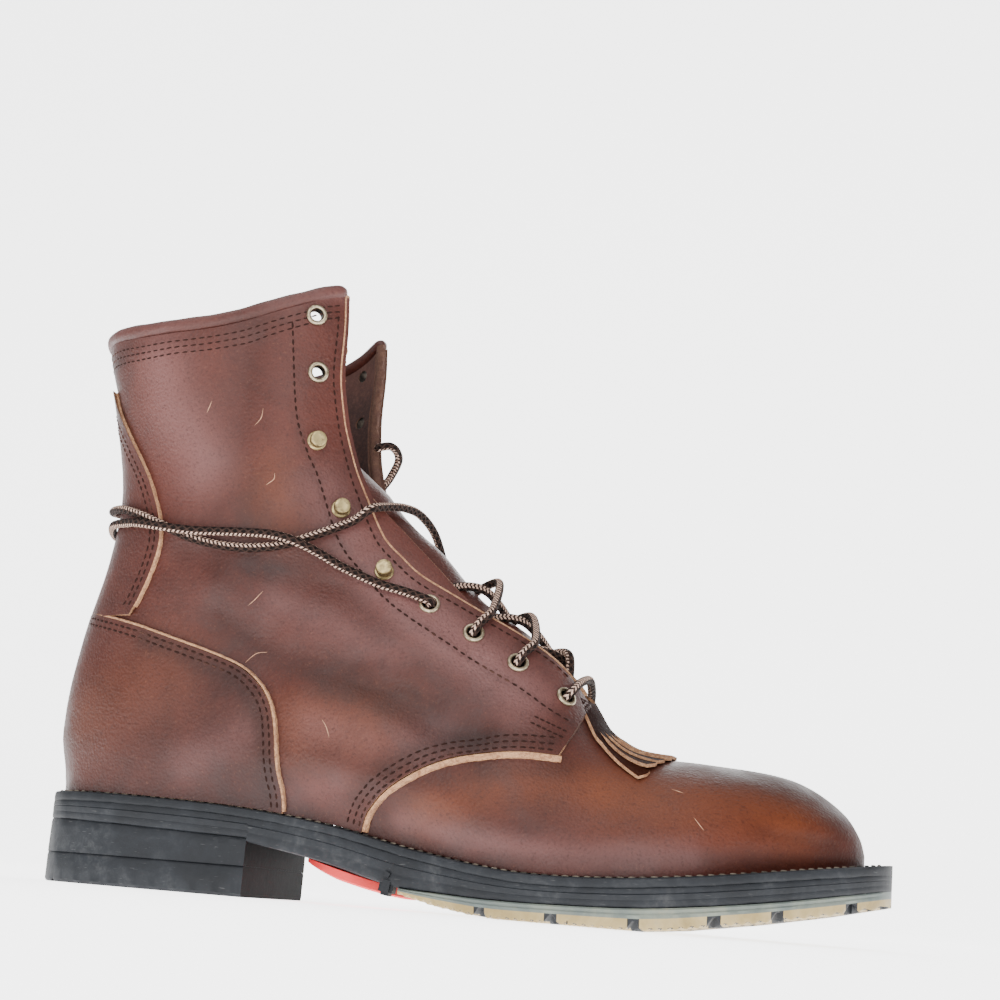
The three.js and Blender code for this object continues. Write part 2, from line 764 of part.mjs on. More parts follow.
// Underside of the black midsole: heel seat, waist, and the line above the gum tread
const undersideRows = [
  { x: 0.286, z: 0.577 },
  { x: 0.37, z: 0.442 },
  { x: 0.442, z: 0.28 },
  { x: 0.468, z: 0.232 },
  { x: 0.512, z: 0.208 },
  { x: 0.577, z: 0.184 },
  { x: 0.66, z: 0.19 },
  { x: 0.75, z: 0.228 },
  { x: 0.858, z: 0.357 },
  { x: 0.957, z: 0.53 },
  { x: 1.03, z: 0.68 },
];

function undersideAt(x) {
  return featherHeight * curveAt(undersideRows, 'x', 'z', x / bootLength);
}

// A band between two heights that follow X
function band(topAt, bottomAt, fromX, toX) {
  const places = profilePlaces(fromX, toX);
  const top = places.map((x) => [x, topAt(x)]);
  const bottom = places.map((x) => [x, bottomAt(x)]);
  return sideBlock([...bottom, ...top.reverse()]);
}

const weltTop = (x) => featherAt(x) - clearance;
const midsoleTop = (x) => weltTop(x) - weltThickness - clearance;
const seatAt = (x) => heelHeight + heelWedge * Math.max(1 - x / heelLength, 0);

function makeWelt() {
  return solePlan(-0.6).intersect(band(weltTop, (x) => weltTop(x) - weltThickness, -bootLength * 0.1, bootLength * 1.1));
}

function makeMidsole() {
  const seat = band(midsoleTop, seatAt, -bootLength * 0.1, heelLength);
  const body = band(midsoleTop, undersideAt, heelLength, bootLength * 1.1);
  const nub = sideBlock([
    [bootLength * 0.444, undersideAt(bootLength * 0.444) + 2],
    [bootLength * 0.447, undersideAt(bootLength * 0.447) - 2.6],
    [bootLength * 0.464, undersideAt(bootLength * 0.464) - 3],
    [bootLength * 0.466, undersideAt(bootLength * 0.466) + 2],
  ]);
  const nubs = nub.subtract(solePlan(-9));
  return seat.add(body).add(nubs).intersect(solePlan(0));
}

// Underside of the gum tread: flat under the ball, rising to the toe
const treadRows = [
  { x: 0.468, z: 0.36 },
  { x: 0.514, z: 0.16 },
  { x: 0.56, z: 0.03 },
  { x: 0.585, z: 0 },
  { x: 0.74, z: 0 },
  { x: 0.77, z: 0.06 },
  { x: 0.858, z: 0.35 },
  { x: 0.934, z: 0.65 },
  { x: 1.03, z: 1.1 },
];

function treadAt(x) {
  const share = x / bootLength;
  let i = 0;
  while (i < treadRows.length - 2 && share > treadRows[i + 1].x) i += 1;
  const q = (share - treadRows[i].x) / (treadRows[i + 1].x - treadRows[i].x);
  return toeSpring * mix(treadRows[i].z, treadRows[i + 1].z, q);
}

const notchPlaces = [0.569, 0.649, 0.7365, 0.817, 0.88, 0.947];
const groovePlaces = [0.53, 0.609, 0.693, 0.777, 0.849, 0.914];

function makeTread() {
  const fromX = bootLength * 0.47;
  const topAt = (x) => undersideAt(x) - clearance;
  const bottom = (x) => Math.min(treadAt(x), topAt(x) - 1.2);
  const solid = band(topAt, bottom, fromX, bootLength * 1.1).intersect(solePlan(0.6));
  const core = planBlock(soleOutline(-9), -skirt, featherHeight * 2);
  let cuts = null;
  for (const share of notchPlaces) {
    const x = bootLength * share;
    const notch = new THREE.BoxGeometry(lugNotch, ballWidth * 1.2, lugDepth * 2);
    notch.translate(x, 0, treadAt(x));
    const cut = toManifold(notch).subtract(core);
    cuts = cuts ? cuts.add(cut) : cut;
  }
  for (const share of groovePlaces) {
    const x = bootLength * share;
    const groove = new THREE.BoxGeometry(lugNotch * 0.6, ballWidth * 0.52, lugDepth);
    groove.translate(x, ballWidth * 0.01, treadAt(x));
    cuts = cuts.add(toManifold(groove));
  }
  return solid.subtract(cuts);
}

// Oval pad under the waist
function makeInsert() {
  const outline = [];
  const halfLength = bootLength * 0.064;
  const halfWidth = ballWidth * 0.27;
  const centreX = bootLength * 0.398;
  for (let i = 0; i < 24; i += 1) {
    const a = (2 * Math.PI * i) / 24;
    outline.push([centreX + halfLength * Math.cos(a), -ballWidth * 0.02 + halfWidth * Math.sin(a)]);
  }
  const top = (x) => undersideAt(x) - clearance;
  const bottom = (x) => top(x) - insertThickness * mix(0.45, 1, smooth((x - centreX + halfLength) / halfLength));
  return planBlock(outline, 0, featherHeight).intersect(
    band(top, bottom, centreX - halfLength - 4, centreX + halfLength + 4),
  );
}

function makeHeel(topAt, bottomAt) {
  return band(topAt, bottomAt, -bootLength * 0.1, heelLength).intersect(solePlan(-0.4));
}

// Eyelet: a rolled flange on the panel and a barrel through it, turned about the hole's axis
function eyeletGeometry() {
  const reach = wall + panelThickness - 0.2;
  const profile = [
    [eyeletBore / 2, -reach],
    [eyeletBarrel / 2, -reach],
    [eyeletBarrel / 2, clearance],
    [eyeletFlange / 2, clearance],
    [eyeletFlange / 2 - 0.5, clearance + eyeletLip],
    [eyeletBore / 2 + 0.3, clearance + eyeletLip],
    [eyeletBore / 2, -reach],
  ];
  return new THREE.LatheGeometry(profile.map(([r, h]) => new THREE.Vector2(r, h)), 10);
}

// Hook: a base plate, a waist and a domed head
function hookGeometry() {
  const profile = [
    [0, clearance],
    [hookHead * 0.55, clearance],
    [hookHead * 0.55, clearance + 0.6],
    [hookHead * 0.3, clearance + 0.7],
    [hookHead * 0.3, hookHeight * 0.6],
    [hookHead * 0.5, hookHeight * 0.68],
    [hookHead * 0.36, hookHeight],
    [0, hookHeight],
  ];
  return new THREE.LatheGeometry(profile.map(([r, h]) => new THREE.Vector2(r, h)), 10);
}

// Lace crossings: from above one eyelet over the ridge to the next eyelet of the other side
const laceTop = 4;
const laceLift = laceDiameter / 2 + eyeletLip + 3 * clearance + 0.2;

function laceSpot(number, side, inward) {
  const hole = lacing.find((row) => row.number === number && row.side === side);
  return skin(hole.place.u, hole.place.turn * (1 - inward), panelThickness + laceLift);
}

function crossing(from, to, side) {
  const endAt = (number) => (number === laceTop ? 0.26 : 0);
  const placeA = lacing.find((row) => row.number === from && row.side === side).place;
  const placeB = lacing.find((row) => row.number === to && row.side === -side).place;
  const points = [
    laceSpot(from, side, endAt(from)),
    laceSpot(from, side, 0.3),
    skin((placeA.u + placeB.u) / 2, 0, from === to ? laceDiameter * 0.9 : laceDiameter / 2 - wall),
    laceSpot(to, -side, 0.3),
    laceSpot(to, -side, endAt(to)),
  ];
  if (to === laceTop) points.splice(3, 1);
  return toManifold(tube(points, laceDiameter, 6, 8));
}

function makeCrossings() {
  let solid = crossing(1, 1, -1);
  for (const side of [-1, 1]) {
    for (let number = 1; number < laceTop; number += 1) solid = solid.add(crossing(number, number + 1, side));
  }
  return solid;
}

// Free lengths of the lace, laid by hand. A row with a side lies on the panel at its lift, one with a Y is free.
const outerStrand = [
  { x: 140.5, z: 108.6, side: -1, lift: 2.9 },
  { x: 132.9, z: 110.2, side: -1, lift: 2.2 },
  { x: 124.6, z: 112.2, side: -1, lift: 2.1 },
  { x: 116, z: 115.6, side: -1, lift: 2.1 },
  { x: 108.4, z: 119, side: -1, lift: 2.3 },
  { x: 100, z: 123, side: -1, lift: 4 },
  { x: 92, z: 126, side: -1, lift: 6 },
  { x: 84, z: 128.2, side: -1, lift: 4 },
  { x: 75, z: 128.6, side: -1, lift: 2.3 },
  { x: 65, z: 128.4, side: -1, lift: 2.6 },
  { x: 56, z: 128, side: -1, lift: 5 },
  { x: 47, z: 128.6, side: -1, lift: 6.4 },
  { x: 38, z: 130, side: -1, lift: 6 },
  { x: 30, z: 131.2, side: -1, lift: 4.4 },
  { x: 20, z: 132, side: -1, lift: 4.1 },
  { x: 9.6, y: 0, z: 132.2 },
  { x: 20, z: 131.6, side: 1, lift: 4.1 },
  { x: 32, z: 130.4, side: 1, lift: 4.1 },
  { x: 44, z: 128.8, side: 1, lift: 3.6 },
  { x: 56, z: 127, side: 1, lift: 2.2 },
  { x: 68, z: 124.6, side: 1, lift: 2.2 },
  { x: 79, z: 121.2, side: 1, lift: 2.2 },
  { x: 88, z: 117, side: 1, lift: 2.2 },
];
const innerStrand = [
  { x: 140.8, z: 109.2, side: 1, lift: 3 },
  { x: 138.6, y: 28, z: 119 },
  { x: 134.2, y: 25, z: 132 },
  { x: 131.6, y: 16, z: 142 },
  { x: 128.2, y: 5, z: 146.6 },
  { x: 124.6, y: -5.5, z: 146.6 },
  { x: 121, y: -16, z: 144.2 },
  { x: 117.6, y: -25, z: 141 },
  { x: 111, z: 136.2, side: -1, lift: 2.4 },
  { x: 105, z: 132.6, side: -1, lift: 2.2 },
  { x: 97, z: 128.6, side: -1, lift: 2.2 },
  { x: 88, z: 125, side: -1, lift: 2.1 },
  { x: 78.5, z: 123.4, side: -1, lift: 2.1 },
  { x: 69.5, z: 123.2, side: -1, lift: 2.1 },
  { x: 60.5, z: 124.4, side: -1, lift: 2.1 },
  { x: 52, z: 126.6, side: -1, lift: 2.4 },
  { x: 43, z: 130.4, side: -1, lift: 3.2 },
  { x: 34, z: 134.4, side: -1, lift: 4.4 },
  { x: 25, z: 137.4, side: -1, lift: 4.3 },
  { x: 16.5, z: 139.6, side: -1, lift: 4.8 },
  { x: 10.2, y: 0, z: 141.6 },
  { x: 16.5, z: 141, side: 1, lift: 4.8 },
  { x: 25, z: 139.8, side: 1, lift: 4.3 },
  { x: 36, z: 137.4, side: 1, lift: 4.1 },
  { x: 48, z: 135, side: 1, lift: 3.4 },
  { x: 60, z: 133.4, side: 1, lift: 2.2 },
  { x: 74, z: 133, side: 1, lift: 2.2 },
  { x: 86, z: 135.4, side: 1, lift: 2.2 },
  { x: 95, z: 141, side: 1, lift: 2.2 },
  { x: 100, z: 150, side: 1, lift: 2.2 },
  { x: 102.5, z: 160, side: 1, lift: 2.4 },
  { x: 107, y: 32.5, z: 168.5 },
  { x: 111.5, y: 26.6, z: 174.6 },
  { x: 109.6, y: 21, z: 178 },
  { x: 103.6, y: 17.8, z: 176.2 },
];

function strandPoint(row) {
  if (row.side === undefined) return new THREE.Vector3(row.x, row.y, row.z);
  const place = findPlace(row.x, row.z, row.side);
  return skin(place.u, place.turn, panelThickness + row.lift);
}

function makeStrand(rows) {
  const points = rows.map(strandPoint);
  const length = new THREE.CatmullRomCurve3(points).getLength();
  return toManifold(tube(points, laceDiameter, Math.round(length / (2.6 * laceDiameter)), 8));
}

// Materials
function material(color, roughness, metalness) {
  return new THREE.MeshStandardMaterial({ color, roughness, metalness });
}
const leather = material(0x6b3b2c, 0.5, 0);
const leatherDark = material(0x553027, 0.55, 0);
const blackRubber = material(0x2c2f33, 0.75, 0);
const gumRubber = material(0xb9a888, 0.6, 0);
const redRubber = material(0xc94a42, 0.6, 0);
const brass = material(0x9c8455, 0.4, 0.9);
const laceBraid = material(0x2b211e, 0.85, 0);
const board = material(0xb08a62, 0.8, 0);

const boot = new THREE.Group();
boot.name = 'kiltie_packer_boot';

function addPiece(name, geometry, look) {
  const mesh = new THREE.Mesh(geometry, look);
  mesh.name = name;
  boot.add(mesh);
}

addPiece('upper', fromManifold(makeUpper()), leather);
addPiece('heel_counter', fromManifold(makeCounter()), leather);
addPiece('backstay', fromManifold(makeBackstay()), leather);
addPiece('collar_binding', fromManifold(makeBinding()), leather);
addPiece('tongue', fromManifold(makeTongue()), leatherDark);
addPiece('kiltie', fromManifold(makeKiltie()), leather);
addPiece('insole', fromManifold(makeInsole()), board);
addPiece('welt', fromManifold(makeWelt()), blackRubber);
addPiece('midsole', fromManifold(makeMidsole()), blackRubber);
addPiece('tread', fromManifold(makeTread()), gumRubber);
addPiece('waist_insert', fromManifold(makeInsert()), redRubber);
addPiece('heel_lift', fromManifold(makeHeel((x) => seatAt(x) - clearance, () => topLiftThickness)), blackRubber);
addPiece('heel_top_lift', fromManifold(makeHeel(() => topLiftThickness - clearance, () => 0)), blackRubber);

for (const row of lacing) {
  const sideName = row.side < 0 ? 'outer' : 'inner';
  const geometry = row.kind === 'eyelet' ? eyeletGeometry() : hookGeometry();
  alongNormal(geometry, row.point, row.normal);
  addPiece(`${row.kind}_${sideName}_${row.number}`, fromManifold(toManifold(geometry)), brass);
}
addPiece('lace_crossings', fromManifold(makeCrossings(), laceTolerance), laceBraid);
addPiece('lace_end_outer', fromManifold(makeStrand(outerStrand), laceTolerance), laceBraid);
addPiece('lace_end_inner', fromManifold(makeStrand(innerStrand), laceTolerance), laceBraid);

// Origin: under the middle of the boot, without its free lace, on the floor
const bounds = new THREE.Box3();
for (const mesh of boot.children.filter((child) => !child.name.startsWith('lace_end'))) {
  bounds.union(new THREE.Box3().setFromObject(mesh));
}
const middle = bounds.getCenter(new THREE.Vector3());
boot.position.set(-middle.x, -middle.y, -bounds.min.z);

export default boot;
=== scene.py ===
import bmesh
import bpy
import math
import random
import numpy as np
from mathutils import Matrix, Vector


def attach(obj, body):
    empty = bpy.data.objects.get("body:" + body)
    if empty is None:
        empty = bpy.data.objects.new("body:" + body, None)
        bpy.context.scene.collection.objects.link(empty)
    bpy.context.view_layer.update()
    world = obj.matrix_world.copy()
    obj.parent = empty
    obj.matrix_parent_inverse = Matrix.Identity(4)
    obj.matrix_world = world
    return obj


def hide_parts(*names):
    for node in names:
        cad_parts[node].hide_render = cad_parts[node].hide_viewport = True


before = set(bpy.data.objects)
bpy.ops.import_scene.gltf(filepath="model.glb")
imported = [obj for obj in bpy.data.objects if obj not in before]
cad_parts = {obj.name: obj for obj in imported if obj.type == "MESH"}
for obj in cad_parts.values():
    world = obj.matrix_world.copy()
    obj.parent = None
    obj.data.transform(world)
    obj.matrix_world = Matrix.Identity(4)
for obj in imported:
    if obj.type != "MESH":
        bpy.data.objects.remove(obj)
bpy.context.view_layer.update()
random.seed(11)
mm = 0.001
origin = {"x": -152.382, "y": 0.842}  # from the heel's back edge to the frame's zero, in mm

# Sizes of the boot in mm, as in its CAD source
boot = {
    "length": 305, "ball": 108, "instep": 113, "shaft": 224, "collarDrop": 17,
    "heelLength": 87, "heelHeight": 20.5, "heelWedge": 2.6, "feather": 32.8, "toeSpring": 15.2,
    "wall": 2.4, "panel": 1.6, "overlay": 1.6, "skirt": 10, "tuck": 22, "heelRound": 40, "toeRound": 62,
}


def toFrame(points):
    return (np.asarray(points, float) + np.array([origin["x"], origin["y"], 0])) * mm


def table(names, rows):
    return {name: np.array([row[k] for row in rows], float) for k, name in enumerate(names.split())}


def curve(rows, key, column, value):
    keys, values = rows[key], rows[column]
    value = np.asarray(value, float)
    i = np.clip(np.searchsorted(keys[1:], value, side="left"), 0, len(keys) - 2)
    before = np.maximum(np.arange(len(keys)) - 1, 0)
    after = np.minimum(np.arange(len(keys)) + 1, len(keys) - 1)
    slope = (values[after] - values[before]) / (keys[after] - keys[before])
    span = keys[i + 1] - keys[i]
    q = np.clip((value - keys[i]) / span, 0, 1)
    h = q * q * (3 - 2 * q)
    return (values[i] * (1 - h) + values[i + 1] * h
            + slope[i] * span * q * (1 - q) ** 2 - slope[i + 1] * span * q * q * (1 - q))


def mix(a, b, q):
    return a + (b - a) * q


def smooth(q):
    q = np.clip(q, 0, 1)
    return q * q * (3 - 2 * q)


def unit(vectors):
    return vectors / np.maximum(np.linalg.norm(vectors, axis=-1, keepdims=True), 1e-9)


def superRound(q, power):
    return np.maximum(1 - (1 - np.clip(q, 0, 1)) ** power, 0) ** (1 / power)


outlineRows = table("at lateral medial inset", [
    (0, 0, 0, 0.14), (0.02, 0.18, 0.18, 0.14), (0.05, 0.268, 0.268, 0.14), (0.11, 0.324, 0.324, 0.14),
    (0.2, 0.328, 0.325, 0.14), (0.3, 0.318, 0.305, 0.13), (0.4, 0.315, 0.27, 0.12), (0.5, 0.365, 0.285, 0.11),
    (0.6, 0.45, 0.37, 0.1), (0.7, 0.502, 0.465, 0.1), (0.77, 0.49, 0.488, 0.11), (0.84, 0.43, 0.47, 0.13),
    (0.91, 0.3, 0.405, 0.15), (0.96, 0.165, 0.315, 0.16), (0.99, 0.045, 0.21, 0.16), (1, -0.08, 0.08, 0.16),
])
outlineRows["turn"] = np.arccos(1 - 2 * outlineRows["at"])
featherRows = table("at rise", [
    (-0.1, 1), (0.14, 0.99), (0.28, 0.94), (0.38, 0.83), (0.485, 0.635), (0.6, 0.49), (0.7, 0.495),
    (0.8, 0.585), (0.92, 0.76), (1.05, 0.97),
])
# Stations of the upper from the toe to the collar: see the CAD source for what each column is
stationRows = table("ridge up base climb half front round medial", [
    (0.969, 0.274, 0.969, 0, 0.45, 1, 2, 0.06),
    (0.962, 0.33, 0.962, 0, 0.45, 1, 2.1, 0.06),
    (0.944, 0.4, 0.944, 0, 0.45, 1, 2.1, 0.055),
    (0.908, 0.466, 0.908, 0, 0.45, 0.98, 2.1, 0.05),
    (0.866, 0.501, 0.865, 0, 0.452, 0.95, 2.1, 0.045),
    (0.79, 0.52, 0.782, 0, 0.456, 0.95, 2.1, 0.04),
    (0.716, 0.536, 0.692, 0, 0.456, 0.95, 2, 0.035),
    (0.677, 0.592, 0.636, 0, 0.445, 0.95, 1.95, 0.03),
    (0.656, 0.668, 0.59, 0, 0.43, 0.95, 1.95, 0.025),
    (0.623, 0.805, 0.525, 0, 0.4, 0.93, 2, 0.02),
    (0.58, 0.92, 0.449, 0, 0.365, 0.88, 2, 0.015),
    (0.526, 1.024, 0.354, 0, 0.345, 0.8, 2, 0.01),
    (0.484, 1.134, 0.2, 0, 0.318, 0.72, 2, 0),
    (0.459, 1.198, 0.092, 0, 0.304, 0.64, 2.05, 0),
    (0.436, 1.257, 0.023, 0, 0.296, 0.58, 2.1, 0),
    (0.405, 1.336, 0.0105, 0.147, 0.295, 0.52, 2.2, 0),
    (0.379, 1.423, 0.0223, 0.3, 0.303, 0.47, 2.3, 0),
    (0.365, 1.532, 0.0443, 0.43, 0.315, 0.44, 2.4, 0),
    (0.358, 1.685, 0.0518, 0.555, 0.33, 0.42, 2.5, 0),
    (0.354, 1.874, 0.0305, 0.7, 0.358, 0.4, 2.6, 0),
    (0.351, 1.991, 0.0131, 0.778, 0.37, 0.4, 2.6, 0),
    (0.346, 2.189, -0.008, 0.895, 0.38, 0.4, 2.6, 0),
])
lastStation = len(stationRows["ridge"]) - 1
heelStation = int(np.argmax(stationRows["climb"] > 0)) - 1
stationRows["station"] = np.arange(lastStation + 1, dtype=float)
throatFoot = 8.45
throatTop = 20.1
throatRows = table("station gap", [
    (8, 0.36), (9, 0.52), (10, 0.62), (11, 0.67), (12, 0.68), (14, 0.68), (15.5, 0.69), (16.5, 0.76), (17.5, 0.9),
    (18.5, 1.02), (lastStation, 1.06),
])
collarRows = table("x drop", [
    (-0.1, 0.9), (0, 1.03), (0.086, 1.2), (0.162, 1.09), (0.227, 0.84), (0.285, 0.47), (0.335, 0.04), (0.45, -0.6),
])


def heightAt(up):
    up = np.asarray(up, float)
    return np.where(up <= 1, up * boot["instep"], boot["instep"] + (up - 1) * (boot["shaft"] - boot["instep"]))


def outlineAt(column, share):
    return curve(outlineRows, "turn", column, np.arccos(1 - 2 * np.clip(share, 0, 1)))


def featherAt(x):
    return boot["feather"] * curve(featherRows, "at", "rise", np.asarray(x) / boot["length"])


def stationAt(column, u):
    return curve(stationRows, "station", column, np.clip(u, 0, lastStation))


def ridgeAt(u):
    return boot["length"] * stationAt("ridge", u), heightAt(stationAt("up", u))


def baseAt(u):
    x = boot["length"] * stationAt("base", u)
    climb = np.where(np.asarray(u) > heelStation, stationAt("climb", u), 0)
    return x, featherAt(x) - boot["skirt"] + np.maximum(climb, 0) * boot["shaft"]


def collarAt(x):
    return boot["shaft"] - boot["collarDrop"] * curve(collarRows, "x", "drop", np.asarray(x) / boot["length"])


backX, backZ = baseAt(np.arange(heelStation, lastStation + 0.01, 0.25))
toeTip = float(ridgeAt(0)[0])
heelTip = float(baseAt(heelStation)[0])


def formPoint(u, turn):
    side = np.where(np.abs(turn) > 1, -np.sign(turn) * (2 - np.abs(turn)), turn)
    s = (1 - np.cos(np.pi * np.abs(side))) / 2
    ridgeX, ridgeZ = ridgeAt(u)
    baseX, baseZ = baseAt(u)
    x = mix(ridgeX, baseX, s)
    z = mix(ridgeZ, baseZ, s)
    share = (x - heelTip) / (toeTip - heelTip)
    shrink = 1 - outlineAt("inset", share)
    lateral = boot["ball"] * outlineAt("lateral", share) * shrink
    medial = boot["ball"] * outlineAt("medial", share) * shrink
    above = z - featherAt(x)
    fromBack = np.maximum(x - np.interp(z, backZ, backX), (1 - s) * (ridgeX - baseX) * 0.5)
    half = (boot["ball"] * stationAt("half", u) * superRound(s / stationAt("front", u), stationAt("round", u))
            * superRound(fromBack / boot["heelRound"], 2) * superRound((toeTip - x) / boot["toeRound"], 2.1))
    width = mix((lateral + medial) / 2, half, smooth(above / boot["tuck"]))
    centre = mix((medial - lateral) / 2, boot["ball"] * stationAt("medial", u), smooth(above / (3 * boot["tuck"])))
    closed = (np.abs(side) == 1) & (u > heelStation)
    y = np.where(closed, 0, centre + np.sign(side) * width)
    return np.stack([x, np.where(u <= 0, centre, y), z], -1)


def formNormal(u, turn):
    isOpen = u <= heelStation
    before = np.where(isOpen, np.maximum(turn - 0.004, -1), turn - 0.004)
    after = np.where(isOpen, np.minimum(turn + 0.004, 1), turn + 0.004)
    along = formPoint(np.minimum(u + 0.03, lastStation), turn) - formPoint(np.maximum(u - 0.03, 0.001), turn)
    across = formPoint(u, after) - formPoint(u, before)
    normal = -np.cross(along, across)
    normal[..., 1] = np.where((np.abs(turn) == 1) & ~isOpen, 0, normal[..., 1])
    normal = np.where((u <= 0)[..., None], np.array([1, 0, 0.1]), normal)
    return unit(normal)


# Soft troughs (rise below zero) and ridges of the worn leather: side (-1 outer, 1 inner), width, rise,
# and a line in side view, in mm
creaseRows = [
    (-1, 7, -2.2, [(66, 99), (76, 92), (89, 85), (106, 82), (118, 79), (130, 76), (149, 65), (165, 60.5)]),
    (-1, 9, 1.3, [(70, 112), (88, 101), (106, 97), (124, 95), (140, 86)]),
    (-1, 8, 1.2, [(103, 72), (122, 66), (138, 58)]),
    (-1, 3, -0.7, [(118, 84), (130, 86), (140, 84)]),
    (-1, 2.6, -0.6, [(124, 76), (138, 75), (150, 70)]),
    (-1, 7, -1.7, [(52, 121), (78, 118.5), (97, 117), (112, 112), (120, 106)]),
    (-1, 4.5, 1, [(113, 121), (121, 112), (129, 106), (139, 99), (152, 90)]),
    (-1, 8, -1.5, [(70, 196), (68, 177), (69, 160), (73, 146), (82, 136)]),
    (-1, 10, 1.3, [(44, 190), (44, 172), (52, 152)]),
    (-1, 9, 1.1, [(90, 172), (93, 157), (88, 144)]),
    (-1, 3, -0.5, [(262, 35), (272, 34), (283, 33.4)]),
    (-1, 7, 0.5, [(215, 30), (236, 27), (252, 29)]),
    (-1, 8, -0.7, [(150, 34), (168, 40), (190, 44)]),
    (-1, 12, 0.8, [(18, 70), (36, 66), (52, 70)]),
    (-1, 6, -0.8, [(88, 62), (104, 46), (112, 34)]),
    (-1, 3, -0.4, [(150, 62), (170, 63), (186, 60)]),
    (1, 7, -2, [(60, 92), (80, 86), (104, 80), (128, 76), (150, 68)]),
    (1, 8, 1.2, [(66, 106), (90, 97), (118, 92), (140, 84)]),
    (1, 6, -1.5, [(50, 124), (74, 120), (96, 118), (114, 112)]),
    (1, 9, -1.4, [(62, 200), (60, 176), (66, 154)]),
    (1, 9, 1, [(40, 186), (42, 164), (50, 146)]),
    (1, 7, -0.8, [(150, 50), (168, 42), (188, 40)]),
    (1, 6, -0.9, [(206, 44), (216, 36), (222, 28)]),
    (1, 12, 0.8, [(26, 60), (44, 62)]),
]


def lineDistance(points, line):
    best = np.full(len(points), 1e9)
    for start, end in zip(line[:-1], line[1:]):
        a, b = np.array(start, float), np.array(end, float)
        q = np.clip(((points - a) @ (b - a)) / ((b - a) @ (b - a)), 0, 1)
        best = np.minimum(best, np.linalg.norm(points - (a + q[:, None] * (b - a)), axis=1))
    return best


def creaseAt(points):
    flat = points.reshape(-1, 3)
    total = np.zeros(len(flat))
    for side, width, rise, line in creaseRows:
        away = lineDistance(flat[:, [0, 2]], line)
        total += rise * np.exp(-(away / width) ** 2) * smooth((side * flat[:, 1] - 4) / 14)
    return total.reshape(points.shape[:-1])


def skin(u, turn, offset, creased=True):
    u, turn = np.asarray(u, float), np.asarray(turn, float)
    points = formPoint(u, turn)
    lift = offset + (creaseAt(points) if creased else 0)
    return points + formNormal(u, turn) * np.asarray(lift)[..., None]


searchU, searchTurn = np.meshgrid(np.arange(0.4, lastStation, 0.2), np.arange(0.02, 0.995, 0.02), indexing="ij")
searchPoints = skin(searchU, searchTurn, boot["panel"], creased=False)
searchOther = skin(searchU, -searchTurn, boot["panel"], creased=False)


def refine(u, turn, target, evaluate, low, high):
    # Newton steps towards the target, keeping the best place found
    best, bestU, bestTurn = np.full(len(u), 1e9), u, turn
    for _ in range(9):
        p = evaluate(u, turn)
        byU, byTurn = (evaluate(u + 0.01, turn) - p) / 0.01, (evaluate(u, turn + 0.001) - p) / 0.001
        miss = target - p
        size = (miss ** 2).sum(1)
        better = size < best
        pairs = ((size, best), (u, bestU), (turn, bestTurn))
        best, bestU, bestTurn = (np.where(better, new, old) for new, old in pairs)
        area = byU[:, 0] * byTurn[:, 1] - byU[:, 1] * byTurn[:, 0]
        area = np.where(np.abs(area) < 1e-3, 1e-3, area)
        stepU = (miss[:, 0] * byTurn[:, 1] - miss[:, 1] * byTurn[:, 0]) / area
        stepTurn = (byU[:, 0] * miss[:, 1] - byU[:, 1] * miss[:, 0]) / area
        u = np.clip(u + np.clip(stepU, -0.2, 0.2), 0.3, lastStation - 0.011)
        turn = np.clip(turn + np.clip(stepTurn, -0.03, 0.03), low, high)
    return bestU, bestTurn


def findPlace(x, z, side):
    x, z = np.atleast_1d(np.asarray(x, float)), np.atleast_1d(np.asarray(z, float))
    grid = (searchPoints if side > 0 else searchOther)[..., [0, 2]].reshape(-1, 2)
    target = np.stack([x, z], -1)
    nearest = np.array([np.argmin(((grid - p) ** 2).sum(1)) for p in target])
    u, turn = refine(searchU.reshape(-1)[nearest], searchTurn.reshape(-1)[nearest], target,
                     lambda a, b: skin(a, side * b, boot["panel"], creased=False)[:, [0, 2]], 0.001, 0.998)
    return u, side * turn


def onSide(x, z, side, lift=0):
    u, turn = findPlace(x, z, side)
    return skin(u, turn, boot["panel"] + np.asarray(lift, float)), formNormal(u, turn)


def spline(points, count):
    points = np.asarray(points, float)
    padded = np.vstack([2 * points[0] - points[1], points, 2 * points[-1] - points[-2]])
    fine = []
    for i in range(len(points) - 1):
        a, b, c, d = padded[i:i + 4]
        for q in np.linspace(0, 1, 24, endpoint=False):
            fine.append(0.5 * (2 * b + (c - a) * q + (2 * a - 5 * b + 4 * c - d) * q ** 2
                               + (3 * b - a - 3 * c + d) * q ** 3))
    fine.append(points[-1])
    return evenly(np.array(fine), count)


def runOf(line):
    return np.concatenate([[0], np.cumsum(np.linalg.norm(np.diff(line, axis=0), axis=1))])


def evenly(line, count):
    run = runOf(line)
    at = np.linspace(0, run[-1], count)
    return np.stack([np.interp(at, run, line[:, k]) for k in range(line.shape[1])], -1)


def lineLength(line):
    return float(runOf(np.asarray(line, float))[-1])


